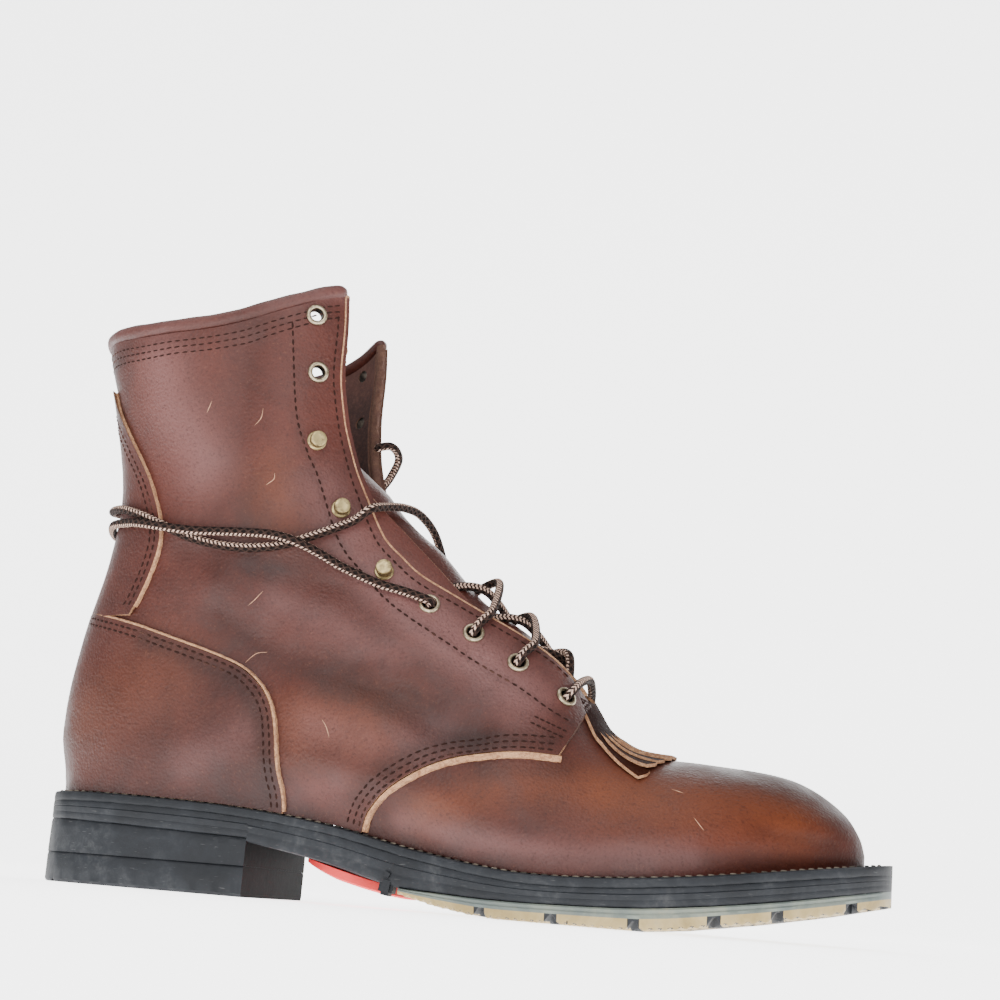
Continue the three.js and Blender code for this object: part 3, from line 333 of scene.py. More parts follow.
# Mesh helpers: a grid from bmesh, moved to its place row by row
def addGrid(bm, points, closeColumns=False, capRows=False, pattern=(1, 1)):
    rows, columns = points.shape[:2]
    if closeColumns:
        points = np.concatenate([points, points[:, :1]], 1)
        columns += 1
    made = bmesh.ops.create_grid(bm, x_segments=columns - 1, y_segments=rows - 1, size=1)["verts"]
    uvLayer = bm.loops.layers.uv.verify()
    spots = toFrame(points)
    where = {}
    for v in made:
        i = round((v.co.y + 1) / 2 * (rows - 1))
        j = round((v.co.x + 1) / 2 * (columns - 1))
        where[v] = (i, j)
        v.co = spots[i, j]
    faces = {f for v in made for f in v.link_faces}
    for f in faces:
        f.smooth = True
        for loop in f.loops:
            i, j = where[loop.vert]
            loop[uvLayer].uv = (j / (columns - 1) * pattern[0], i / (rows - 1) * pattern[1])
    if closeColumns:
        bmesh.ops.remove_doubles(bm, verts=made, dist=1e-7)
        if capRows:
            live = [v for v in made if v.is_valid]
            edges = [e for e in {e for v in live for e in v.link_edges} if e.is_boundary]
            bmesh.ops.holes_fill(bm, edges=edges, sides=0)
        live = [v for v in made if v.is_valid]
        bmesh.ops.recalc_face_normals(bm, faces=list({f for v in live for f in v.link_faces}))
    return where


def addTube(bm, rings, pattern=(1, 1)):
    addGrid(bm, np.asarray(rings), closeColumns=True, capRows=True, pattern=pattern)


def smoothMesh(mesh, sharp):
    mesh.shade_smooth()
    mesh.set_sharp_from_angle(angle=math.radians(sharp))


def finishMesh(bm, name, materials, sharp=40):
    mesh = bpy.data.meshes.new(name)
    bm.to_mesh(mesh)
    bm.free()
    piece = bpy.data.objects.new(name, mesh)
    bpy.context.scene.collection.objects.link(piece)
    for material in materials:
        mesh.materials.append(material)
    smoothMesh(mesh, sharp)
    return piece


def applied(piece):
    graph = bpy.context.evaluated_depsgraph_get()
    mesh = bpy.data.meshes.new_from_object(piece.evaluated_get(graph))
    piece.modifiers.clear()
    old = piece.data
    piece.data = mesh
    bpy.data.meshes.remove(old)
    return piece


def faceTowards(bm, score):
    bmesh.ops.recalc_face_normals(bm, faces=bm.faces)
    if sum(score(f) for f in bm.faces) < 0:
        bmesh.ops.reverse_faces(bm, faces=bm.faces)


def thicken(piece, thickness, sharp=None):
    shell = piece.modifiers.new("wall", "SOLIDIFY")
    shell.thickness, shell.offset = thickness * mm, -1
    shell.material_offset, shell.material_offset_rim = 1, 2
    applied(piece)
    if sharp:
        smoothMesh(piece.data, sharp)
    return piece


def meshPoints(mesh):
    points = np.zeros(len(mesh.vertices) * 3)
    mesh.vertices.foreach_get("co", points)
    return points.reshape(-1, 3) / mm - np.array([origin["x"], origin["y"], 0])


def addPiece(piece, replaced=()):
    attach(piece, "root")
    if replaced:
        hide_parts(*replaced)


def makePiece(bm, name, materials, sharp, replaced=()):
    piece = finishMesh(bm, name, materials, sharp)
    addPiece(piece, replaced)
    print(name, len(piece.data.polygons))
    return piece


def tubeRings(line, radius, sides):
    line = np.asarray(line, float)
    along = unit(np.gradient(line, axis=0))
    across = np.cross(along[0], [0, 0, 1.0])
    if np.linalg.norm(across) < 0.1:
        across = np.cross(along[0], [0, 1.0, 0])
    rings = []
    for i, p in enumerate(line):
        across = across - along[i] * (across @ along[i])
        across /= np.linalg.norm(across)
        up = np.cross(along[i], across)
        r = radius if np.isscalar(radius) else radius[i]
        angle = 2 * np.pi * np.arange(sides) / sides
        rings.append(p + r * (np.cos(angle)[:, None] * across + np.sin(angle)[:, None] * up))
    return np.array(rings)


def roundedEnds(count, steps, least):
    end = np.minimum(np.arange(count), np.arange(count)[::-1]) / steps
    return np.where(end < 1, np.sqrt(np.clip(1 - (1 - end) ** 2, least, 1)), 1)


# Camera, floor and light
view = {"target": (150, 0, 110), "azimuth": 13.162, "elevation": -10.259, "roll": 4.797, "distance": 590,
        "lens": 57.765, "shiftX": 0.03415, "shiftY": 0.11018}


def makeCamera():
    a, e, r = (math.radians(view[k]) for k in ("azimuth", "elevation", "roll"))
    back = Vector((math.sin(a) * math.cos(e), -math.cos(a) * math.cos(e), math.sin(e)))
    level = Vector((math.cos(a), math.sin(a), 0))
    above = back.cross(level)
    right = math.cos(r) * level + math.sin(r) * above
    up = math.cos(r) * above - math.sin(r) * level
    data = bpy.data.cameras.new("camera")
    data.lens, data.sensor_width = view["lens"], 36
    data.shift_x, data.shift_y = view["shiftX"], view["shiftY"]
    data.clip_start, data.clip_end = 0.01, 50
    camera = bpy.data.objects.new("camera", data)
    place = Vector(toFrame([view["target"]])[0]) + back * view["distance"] * mm
    camera.matrix_world = Matrix.Translation(place) @ Matrix((right, up, back)).transposed().to_4x4()
    bpy.context.scene.collection.objects.link(camera)
    bpy.context.scene.camera = camera


makeCamera()
print("camera ready")


class Surface:
    # A material, with its nodes added by short calls
    def __init__(self, name, roughness, **sockets):
        self.material = bpy.data.materials.new(name)
        self.material.use_nodes = True
        self.tree = self.material.node_tree
        self.shader = self.tree.nodes["Principled BSDF"]
        self.place = self.add("TexCoord").outputs["Object"]
        self.set(Roughness=roughness, **sockets)

    def link(self, value, socket):
        if isinstance(value, bpy.types.NodeSocket):
            self.tree.links.new(value, socket)
        else:
            socket.default_value = value

    def set(self, **sockets):
        for key, value in sockets.items():
            self.link(value, self.shader.inputs[key.replace("_", " ")])

    def add(self, kind, settings=None, **sockets):
        node = self.tree.nodes.new("ShaderNode" + kind)
        for key, value in (settings or {}).items():
            setattr(node, key, value)
        for key, value in sockets.items():
            self.link(value, node.inputs[key.replace("_", " ")])
        return node

    def inOrder(self, node, values, firstOutput=0):
        for socket, value in zip(node.inputs, values):
            self.link(value, socket)
        return node.outputs[firstOutput]

    def math(self, operation, a, b=0.0, clamp=False):
        node = self.add("Math", {"operation": operation, "use_clamp": clamp})
        return self.inOrder(node, (a, b))

    def times(self, a, b, clamp=True):
        return self.math("MULTIPLY", a, b, clamp)

    def mix(self, share, a, b, blend="MIX"):
        node = self.add("Mix", {"data_type": "RGBA", "blend_type": blend})
        for k, value in zip((0, 6, 7), (share, a, b)):
            self.link(value, node.inputs[k])
        return node.outputs[2]

    def ramp(self, value, low, high, fromValue=0.0, toValue=1.0):
        node = self.add("MapRange", {"interpolation_type": "SMOOTHSTEP"})
        return self.inOrder(node, (value, low, high, fromValue, toValue))

    def axes(self, vector=None):
        return self.add("SeparateXYZ", Vector=self.place if vector is None else vector).outputs

    def stretched(self, scale, turn):
        return self.add("Mapping", Vector=self.place, Scale=scale, Rotation=turn).outputs[0]

    def noise(self, scale, detail=4.0, roughness=0.55, distortion=0.0, place=None):
        return self.add("TexNoise", Vector=self.place if place is None else place, Scale=scale, Detail=detail,
                        Roughness=roughness, Distortion=distortion).outputs["Fac"]

    def bump(self, height, strength, distance):
        self.set(Normal=self.add("Bump", Height=height, Strength=strength, Distance=distance).outputs[0])


# Leather colours; lilac is the colour of a painted highlight, a pale sheen of the light on the leather
leather = {
    "deep": (0.024, 0.0056, 0.004, 1), "mid": (0.068, 0.0155, 0.0098, 1), "warm": (0.145, 0.038, 0.0135, 1),
    "lilac_highlight": (0.145, 0.063, 0.058, 1), "pale": (0.3, 0.13, 0.065, 1), "roughness": 0.5, "grain": 0.6,
}


def makeLeather(name, shade=1.0, roughness=leather["roughness"], gloss=0.28, coat=0.04):
    m = Surface(name, roughness, Coat_Weight=coat, Coat_Roughness=0.34)
    # The toe is worn duller than the rest
    m.set(Specular_IOR_Level=m.ramp(m.axes()[0], 0.07, 0.125, gloss, gloss * 0.3))
    patches = m.noise(17, 5, 0.6, 0.6)
    mottle = m.noise(95, 6, 0.62, 0.3)
    fine = m.noise(1000, 4, 0.6)
    tone_and_painted_light = m.add("Attribute", {"attribute_name": "tone_and_painted_light"}).outputs["Color"]
    dark, warm, lilac_highlight = list(m.add("SeparateColor", Color=tone_and_painted_light).outputs)[:3]
    colour = m.mix(m.ramp(patches, 0.3, 0.7), leather["deep"], leather["mid"])
    colour = m.mix(m.ramp(mottle, 0.35, 0.75, 0.0, 0.5), colour, leather["mid"])
    colour = m.mix(m.times(warm, m.ramp(mottle, 0.2, 0.7, 0.6, 1.0)), colour, leather["warm"])
    # Painted highlight: a pale lilac sheen of the light, from the attribute's third channel
    colour = m.mix(m.times(lilac_highlight, m.ramp(patches, 0.25, 0.6, 0.55, 1.0)), colour, leather["lilac_highlight"])
    # Painted shade in the creases and along the seams, edges and collar, together with darker tone of the leather's
    # own, from the first channel
    colour = m.mix(m.times(dark, 0.75), colour, tuple(c * 0.35 for c in leather["deep"][:3]) + (1,))
    colour = m.mix(m.ramp(fine, 0.58, 0.78, 0.0, 0.13), colour, leather["pale"])
    colour = m.mix(m.ramp(fine, 0.48, 0.3, 0.0, 0.45), colour, leather["deep"])
    m.set(Base_Color=m.mix(1.0, colour, (shade, shade, shade, 1), "MULTIPLY"))
    m.set(Roughness=m.ramp(mottle, 0.3, 0.7, roughness - 0.07, roughness + 0.09))
    pores = m.add("TexVoronoi", {"feature": "SMOOTH_F1"}, Vector=m.place, Scale=950, Smoothness=0.6)
    wrinkles = m.noise(210, 7, 0.65, 1.2, m.stretched((1, 1, 1.7), (0, 0.5, 0)))
    height = m.math("ADD", m.times(pores.outputs["Distance"], 0.7, False), m.times(fine, 0.6, False))
    m.bump(m.math("ADD", height, m.times(wrinkles, 0.8, False)), leather["grain"], 0.00035)
    return m.material


def makeRaw(name, covered):
    m = Surface(name, 0.88)
    fibre = m.noise(900, 6, 0.7, 1.0)
    colour = m.mix(m.ramp(fibre, 0.3, 0.7), (0.2, 0.085, 0.04, 1), (0.52, 0.29, 0.155, 1))
    colour = m.mix(m.ramp(m.noise(130, 4), 0.5, 0.7, 0.0, 0.45), colour, (0.14, 0.055, 0.03, 1))
    if covered:
        # The inner flap's edge and the facing's foot are finished dark
        x, y, z = list(m.axes())
        flap = m.times(m.ramp(y, 0.0, 0.008), m.ramp(z, 0.125, 0.14))
        foot = m.times(m.ramp(x, 0.0425, 0.0435), m.ramp(z, 0.055, 0.057))
        colour = m.mix(m.times(m.math("MAXIMUM", flap, foot), 0.88, False), colour, (0.035, 0.01, 0.008, 1))
    m.set(Base_Color=colour)
    m.bump(fibre, 0.8, 0.0004)
    return m.material


def makeLining():
    m = Surface("suede_lining", 0.92)
    nap = m.noise(700, 6, 0.7)
    colour = m.mix(m.ramp(m.noise(28, 4), 0.35, 0.65), (0.03, 0.0105, 0.0085, 1), (0.062, 0.022, 0.016, 1))
    m.set(Base_Color=m.mix(m.ramp(nap, 0.4, 0.8, 0.0, 0.4), colour, (0.13, 0.055, 0.038, 1)))
    m.bump(nap, 0.6, 0.0004)
    return m.material


leatherMaterial = makeLeather("oiled_leather")
tongueMaterial = makeLeather("tongue_leather_smooth", 0.95, 0.38)
rawMaterial = makeRaw("raw_leather_edge", True)
fringeEdge = makeRaw("fringe_cut_edge", False)
fringeMaterial = makeLeather("fringe_leather", 0.6, 0.7, 0.02, 0.0)
liningMaterial = makeLining()


def makeStage():
    bm = bmesh.new()
    bmesh.ops.create_grid(bm, x_segments=40, y_segments=40, size=3)
    for v in bm.verts:
        rise = max(v.co.y - 1.4, 0)
        v.co.z = rise ** 2 * 1.2
    mesh = bpy.data.meshes.new("floor")
    bm.to_mesh(mesh)
    bm.free()
    mesh.shade_smooth()
    floor = bpy.data.objects.new("floor", mesh)
    m = Surface("pale_floor", 0.9, Base_Color=(0.93, 0.93, 0.93, 1), Specular_IOR_Level=0.1,
                Emission_Color=(1, 1, 1, 1), Emission_Strength=3.2)
    mesh.materials.append(m.material)
    bpy.context.scene.collection.objects.link(floor)
    world = bpy.data.worlds.new("studio")
    world.use_nodes = True
    background = world.node_tree.nodes["Background"]
    background.inputs[0].default_value = (1, 1, 1, 1)
    background.inputs[1].default_value = 0.62
    bpy.context.scene.world = world
    lights = {
        "front_box": {"place": (0.1, -1.5, 1.0), "size": 1.1, "power": 22},
        "top_box": {"place": (-0.5, -0.3, 1.6), "size": 1.0, "power": 9},
        "rear_box": {"place": (0.4, 1.4, 1.2), "size": 1.2, "power": 4},
    }
    for name, row in lights.items():
        data = bpy.data.lights.new(name, "AREA")
        data.size, data.energy = row["size"], row["power"]
        light = bpy.data.objects.new(name, data)
        light.location = row["place"]
        light.rotation_mode = "QUATERNION"
        light.rotation_quaternion = (Vector((0, 0, 0.1)) - Vector(row["place"])).to_track_quat("-Z", "Y")
        bpy.context.scene.collection.objects.link(light)


makeStage()
print("stage ready")

# Upper: shells of the form, cut by blocks of their outlines
upper = {"rows": 230, "columns": 172, "solver": "MANIFOLD"}


def evenStations(fromU, toU, count):
    u = np.linspace(fromU, toU, 600)
    run = sum(runOf(formPoint(u, np.full(len(u), turn))) for turn in (0.0, -0.5, 0.98))
    return np.interp(np.linspace(0, run[-1], count), run, u)


def formSheet(name, offset, thickness, materials, fromU=0.0, share=1.0):
    rows = int(upper["rows"] * share)
    u = evenStations(fromU, lastStation, rows)
    turn = np.linspace(-1, 1, upper["columns"] + 1)
    points = skin(*np.meshgrid(u, turn, indexing="ij"), offset)
    bm = bmesh.new()
    at = {spot: v for v, spot in addGrid(bm, points).items()}
    last = upper["columns"]
    pairs = {at[i, last]: at[i, 0] for i in range(rows) if u[i] > heelStation}
    if fromU == 0:
        pairs.update({at[0, last - j]: at[0, j] for j in range(last // 2)})
    bmesh.ops.weld_verts(bm, targetmap=pairs)
    faceTowards(bm, lambda f: 1 if (f.calc_center_median().y < 0) == (f.normal.y < 0) else -1)
    piece = finishMesh(bm, name, materials)
    return thicken(piece, thickness)


def finishCutter(bm, name):
    # The faces that a cutter leaves show raw leather
    for f in bm.faces:
        f.material_index = 2
    return finishMesh(bm, name, [rawMaterial] * 3)


def block(outline, fromY=-130, toY=130):
    bm = bmesh.new()
    made = bmesh.ops.create_circle(bm, segments=len(outline), radius=1, cap_ends=True)["verts"]
    order = sorted(made, key=lambda v: math.atan2(v.co.y, v.co.x) % (2 * math.pi))
    for v, (a, b) in zip(order, outline):
        v.co = toFrame([(a, fromY, b)])[0]
    run = bmesh.ops.extrude_face_region(bm, geom=list(bm.faces))["geom"]
    bmesh.ops.translate(bm, verts=[v for v in run if isinstance(v, bmesh.types.BMVert)],
                        vec=(0, (toY - fromY) * mm, 0))
    bmesh.ops.recalc_face_normals(bm, faces=bm.faces)
    return finishCutter(bm, "block")


def cut(piece, operation, *cutters):
    for cutter in cutters:
        boolean = piece.modifiers.new("cut", "BOOLEAN")
        boolean.object, boolean.operation, boolean.solver = cutter, operation, upper["solver"]
    applied(piece)
    for cutter in cutters:
        bpy.data.objects.remove(cutter)
    smoothMesh(piece.data, 38)
    return piece


def aboveFeather():
    x = np.linspace(-40, 340, 120)
    return block([*zip(x, featherAt(x)), (340, 300), (-40, 300)])


def belowCollar(lower):
    x = np.linspace(-40, 140, 60)
    return block([(-40, -20), (340, -20), (340, 400), *zip(x[::-1], collarAt(x[::-1]) - lower)])


def throatHalf(u):
    return 25 * curve(throatRows, "station", "gap", u)


def ridgeSlab(extra, fromU, toU, outside, inside, foot=None):
    u = np.linspace(fromU, toU, 70)
    ridgeX, ridgeZ = ridgeAt(u)
    baseX, baseZ = baseAt(u)
    away = unit(np.stack([ridgeX - baseX, ridgeZ - baseZ], -1))
    half = throatHalf(u) + extra
    if foot is not None:
        half = half * superRound((u - foot) / 0.8, 2)
    centre = boot["ball"] * stationAt("medial", u)
    rings = []
    for depth, side in ((outside, -1), (outside, 1), (-inside, 1), (-inside, -1)):
        rings.append(np.stack([ridgeX + away[:, 0] * depth, centre + side * half, ridgeZ + away[:, 1] * depth], -1))
    bm = bmesh.new()
    addTube(bm, np.array(rings).transpose(1, 0, 2))
    return finishCutter(bm, "slab")


def throatCutter(extra):
    return ridgeSlab(extra, throatFoot - 0.3, lastStation, 27, 34, throatFoot - 0.35)


vampSeam = [(126.9, 5.6), (129, 26.5), (133.7, 34.3), (140.9, 40.7), (150.6, 47.1), (161.1, 51.4), (171.9, 53.6),
            (182.8, 54.7), (195.2, 54.5)]
facingFoot = [(195.2, 54.5), (198.5, 63.3), (201.3, 74.6), (196.7, 85.9), (189.1, 101.7)]
counterEdge = {
    -1: [(99.1, 5), (99.1, 33.1), (97.1, 44), (95.2, 55.1), (92.7, 65.3), (88.1, 72.9), (79.9, 79.6), (68.8, 84.1),
         (53.7, 88.6), (36.9, 93.5), (21, 97.4), (13.7, 99.4)],
    1: [(103.7, 5), (102.2, 31.6), (94.5, 47.5), (83.9, 59.9), (68.6, 73.5), (48.8, 84.8), (27.5, 93.8), (13.7, 99.4)],
}
backstayEdge = [(33.2, 97), (36, 102.2), (39.7, 111.9), (42.2, 122.8), (41.8, 130.6), (39.2, 138.7), (33.2, 150.5),
                (23.3, 164.5), (12.6, 179.2), (9.2, 186.3)]


def quarterOutline(grow):
    seam = spline(vampSeam, 60) + np.array([grow, -grow])
    front = np.array(facingFoot[1:]) + np.array([grow, -grow])
    corners = [(201.3, 141), (201.3, 300), (-40, 300), (-40, -20), (126.9 + grow, -20)]
    return [*map(tuple, seam), *map(tuple, front), *corners]


def counterBlock(side, grow):
    edge = spline(counterEdge[side], 50) + grow
    outline = [*map(tuple, edge), (-40, 99.4 + grow), (-40, -5), (edge[0][0], -5)]
    return block(outline, -130 if side < 0 else 0, 0 if side < 0 else 130)


def backstayBlock(grow):
    edge = spline(backstayEdge, 50) - np.array([grow, 0])
    return block([*map(tuple, edge), (-40, edge[-1][1]), (-40, 97)])


lacing = {
    "along": [0.6315, 0.5748, 0.5203, 0.4652, 0.4072, 0.3485, 0.3154, 0.3121, 0.3062],
    "up": [0.684, 0.779, 0.865, 0.95, 1.049, 1.25, 1.463, 1.691, 1.879],
    "eyelets": (1, 2, 3, 4, 8, 9), "hooks": (5, 6, 7), "bore": 5.0, "spots": {},
}
for side in (-1, 1):
    u, turn = findPlace(np.array(lacing["along"]) * boot["length"], heightAt(lacing["up"]), side)
    points, normals = skin(u, turn, boot["panel"]), formNormal(u, turn)
    for k in range(9):
        lacing["spots"][side, k + 1] = {"u": u[k], "turn": turn[k], "point": points[k], "normal": normals[k]}


def placeOn(spot):
    turn = Vector(spot["normal"]).to_track_quat("Z", "Y").to_matrix().to_4x4()
    return Matrix.Translation(Vector(toFrame([spot["point"]])[0])) @ turn


def bores():
    bm = bmesh.new()
    for (side, number), spot in lacing["spots"].items():
        if number in lacing["eyelets"]:
            bmesh.ops.create_cone(bm, cap_ends=True, segments=24, radius1=lacing["bore"] / 2 * mm,
                                  radius2=lacing["bore"] / 2 * mm, depth=16 * mm, matrix=placeOn(spot))
    return finishCutter(bm, "bores")


wallMaterials = [leatherMaterial, liningMaterial, rawMaterial]
vamp = formSheet("vamp_and_lining", 0, boot["wall"], wallMaterials)
cut(vamp, "INTERSECT", aboveFeather(), belowCollar(2.9))
cut(vamp, "DIFFERENCE", throatCutter(0.9), bores())
print("vamp", len(vamp.data.polygons))
quarters = formSheet("quarters", boot["panel"], boot["panel"] + 0.05, wallMaterials, 6.5, 0.75)
cut(quarters, "INTERSECT", block(quarterOutline(-1.2)), aboveFeather(), belowCollar(2.9))
cut(quarters, "DIFFERENCE", ridgeSlab(0.9, throatFoot - 1.2, lastStation, 12, 8), bores())
print("quarters", len(quarters.data.polygons))
overlayAt = boot["panel"] + 0.3
counter = formSheet("heel_counter_panel", overlayAt + boot["overlay"], boot["overlay"] + 0.2, wallMaterials, 9.5, 0.6)
cut(counter, "INTERSECT", aboveFeather())
sides = counterBlock(-1, -0.6)
cut(sides, "UNION", counterBlock(1, -0.6))
cut(counter, "INTERSECT", sides)
backstay = formSheet("backstay_strip", overlayAt + boot["overlay"] - 0.1, boot["overlay"] + 0.1, wallMaterials, 12, 0.5)
cut(backstay, "INTERSECT", backstayBlock(0.6))
print("counter and backstay", len(counter.data.polygons), len(backstay.data.polygons))
addPiece(vamp, ["upper"])
addPiece(quarters, ["upper"])
addPiece(counter, ["heel_counter"])
addPiece(backstay, ["backstay"])


# Paints a colour attribute on each point: first channel painted shade, plus an even amount given per piece; second the
# leather's own warmer tone; third a painted lilac highlight
def paintToneAndLight(piece, dark=0.0):
    mesh = piece.data
    points = meshPoints(mesh)
    tone_and_painted_light = np.zeros((len(points), 4))
    tone_and_painted_light[:, 3] = 1
    tone_and_painted_light[:, 0] = dark
    for channel, rows in enumerate(toneAndPaintedLightRows.values()):
        for side, width, amount, line in rows:
            near = np.exp(-(lineDistance(points[:, [0, 2]], line) / width) ** 2)
            if side:
                near = near * smooth((side * points[:, 1] + 6) / 16)
            tone_and_painted_light[:, channel] += amount * near
    layer = mesh.attributes.new("tone_and_painted_light", "FLOAT_COLOR", "POINT")
    layer.data.foreach_set("color", np.clip(tone_and_painted_light, 0, 1).reshape(-1))


# Colour marks on the leather: painted shade in the creases, along the seams, edges and stitch rows and under the
# collar, with some darker tone of its own; its own warmer tone; and a painted pale lilac highlight: side (0 both),
# width, amount, and a line in side view
toneAndPaintedLightRows = {
    # painted shade in the creases and along the seams, edges, stitch rows and collar, and some darker tone of the
    # leather's own
    "dark": [
        (-1, 7, 0.55, [(66, 99), (89, 85), (118, 79), (149, 65), (165, 60)]),
        (-1, 6, 0.45, [(52, 121), (97, 117), (118, 108)]),
        (-1, 9, 0.35, [(70, 200), (69, 160), (80, 136)]),
        (0, 7, 0.5, [(200, 70), (228, 59), (262, 57), (288, 46)]),
        (-1, 3, 0.3, [(262, 35), (283, 33.4)]),
        (0, 12, 0.4, [(-4, 40), (-4, 95)]),
        (0, 4, 0.3, [(130, 28), (152, 45), (196, 51)]),
        (0, 3.5, 0.4, [(0, 34), (100, 31), (170, 18), (296, 28)]),
        (-1, 3.2, 0.55, [(94, 36), (92.5, 46), (90, 56), (86, 66), (77, 75), (62, 81), (40, 88)]),
        (-1, 4, 0.55, [(126, 36), (135, 46), (146, 53), (160, 57.5), (172, 60), (190, 61)]),
        (-1, 1.5, 0.35, [(88, 172), (94, 158), (107, 129), (130, 105), (162, 86), (196, 68)]),
        (0, 8, 0.35, [(250, 55), (276, 50), (296, 38)]),
        (0, 4, 0.3, [(8, 196), (46, 200), (96, 212)]),
        (1, 7, 0.5, [(60, 92), (104, 80), (150, 68)]),
        (1, 6, 0.4, [(50, 124), (96, 118)]),
    ],
    "warm": [
        (-1, 13, 0.75, [(216, 44), (250, 43), (272, 41)]),
        (-1, 9, 0.5, [(150, 34), (180, 44), (206, 46)]),
        (-1, 14, 0.45, [(103, 60), (128, 62)]),
        (-1, 10, 0.4, [(80, 150), (84, 134)]),
        (-1, 16, 0.35, [(20, 60), (50, 76)]),
        (1, 14, 0.5, [(200, 46), (262, 44)]),
        (1, 16, 0.3, [(60, 70), (120, 60)]),
    ],
    # painted highlight: a pale lilac sheen of the light on the leather
    "lilac_highlight": [
        (-1, 11, 0.7, [(36, 192), (40, 176), (56, 154)]),
        (-1, 9, 0.45, [(124, 112), (150, 94), (176, 76)]),
        (-1, 4.5, 0.55, [(142, 30), (166, 25), (204, 22), (240, 24)]),
        (-1, 7, 0.5, [(62, 44), (84, 56)]),
        (-1, 6, 0.35, [(100, 36), (118, 40)]),
        (-1, 7, 0.35, [(88, 104), (112, 96), (132, 86)]),
        (-1, 9, 0.5, [(100, 146), (120, 118), (148, 100), (184, 76)]),
        (-1, 8, 0.45, [(108, 60), (130, 57), (152, 60)]),
        (-1, 5, 0.5, [(4, 206), (48, 210), (100, 222)]),
        (1, 14, 0.4, [(60, 150), (110, 100)]),
        (1, 5, 0.4, [(150, 30), (230, 26)]),
    ],
}
for piece, dark in ((vamp, 0.1), (quarters, 0), (counter, 0.3), (backstay, 0.15)):
    paintToneAndLight(piece, dark)


def throatTurn(u):
    low, high = np.zeros(len(u)), np.full(len(u), 0.6)
    for _ in range(20):
        middle = (low + high) / 2
        inside = skin(u, middle, 0, creased=False)[:, 1] < throatHalf(u)
        low, high = np.where(inside, middle, low), np.where(inside, high, middle)
    return low


def addEdge(bm, base, normals, section, outward, ragged=0.12, swell=None):
    across = unit(np.cross(normals, unit(np.gradient(base, axis=0)))) * outward
    rings = []
    for i in range(len(base)):
        ring = []
        for a, lift in section:
            wobble = random.uniform(-ragged, ragged) if a > 0 else 0
            wide = 1 if swell is None or a < 0 else swell[i]
            ring.append(base[i] + across[i] * ((a + wobble) * wide) + normals[i] * lift)
        rings.append(ring)
    addTube(bm, rings)


# Raw cut edges of the leather: a worn slope from each panel down to the one below
rawEdge = {
    "seam": [(-1.2, 1.64), (-0.6, 1.6), (-0.1, 1.3), (0.3, 0.8), (0.5, 0.1), (0.5, -0.5), (-1.2, -0.5)],
    "overlay": [(-0.6, 3.4), (0, 3.36), (0.2, 3.1), (0.3, 2.4), (0.35, 1.5), (0.3, 1.2), (-0.6, 1.2)],
    "backstay": [(-0.5, 3.3), (0, 3.26), (0.2, 3.0), (0.3, 2.3), (0.35, 1.5), (0.3, 1.2), (-0.5, 1.2)],
    "flap": [(-1.2, 1.66), (-0.5, 1.6), (0.0, 1.2), (0.35, 0.3), (0.4, -0.9), (0.2, -1.9), (-0.3, -2.45),
             (-1.2, -2.45)],
    "step": 1.1,
}


def sideStrip(bm, line, side, section):
    line = evenly(np.asarray(line, float), max(int(lineLength(line) / rawEdge["step"]), 8))
    u, turn = findPlace(line[:, 0], line[:, 1], side)
    base, normals = skin(u, turn, 0), formNormal(u, turn)
    addEdge(bm, base, normals, section, side)


bm = bmesh.new()
for side in (-1, 1):
    seam = [p for p in spline(vampSeam, 60) if p[1] > featherAt(p[0]) + 0.3]
    sideStrip(bm, seam, side, rawEdge["seam"])
    edge = [p for p in spline(counterEdge[side], 60) if p[1] > featherAt(p[0]) + 0.3]
    sideStrip(bm, edge, side, rawEdge["overlay"])
    sideStrip(bm, spline(backstayEdge, 60)[2:], side, rawEdge["backstay"])
    u = evenStations(throatFoot + 0.12, throatTop, 150)
    turn = throatTurn(u) + 0.006
    base = skin(u, side * turn, 0)
    keep = base[:, 2] < collarAt(base[:, 0]) - 1.0
    swell = 1 + 3.5 * smooth((base[keep][:, 2] - 150) / 50)
    addEdge(bm, base[keep], formNormal(u, side * turn)[keep], rawEdge["flap"], side, 0.16, swell)
makePiece(bm, "raw_edges", [rawMaterial], 50)

# Collar binding: a rolled strip of leather
collar = {"radius": 2.9, "steps": 190, "sides": 18}


def collarLine(drop, lift, count, inward=0.0):
    share = np.linspace(-1, 1, count)
    u = np.full(count, lastStation * 0.93)
    for _ in range(40):
        turn = np.where(share < 0, -1.0, 1.0) * mix(1.0, throatTurn(u) + inward, np.abs(share))
        points = skin(u, turn, lift)
        u = u + (collarAt(points[:, 0]) - drop - points[:, 2]) * 0.02
    return points, formNormal(u, turn)


bm = bmesh.new()
line, normals = collarLine(0, (boot["panel"] - boot["wall"]) / 2, collar["steps"])
radius = collar["radius"] * roundedEnds(len(line), 3, 0.04)
run = np.linspace(0, 1, len(line))
radius = radius * (1 + 0.03 * np.sin(run * 61) + 0.02 * np.sin(run * 137 + 1))
addTube(bm, tubeRings(line, radius, collar["sides"]), (1, 60))
binding = finishMesh(bm, "collar_roll", [leatherMaterial])
paintToneAndLight(binding, 0.12)
addPiece(binding, ["collar_binding"])

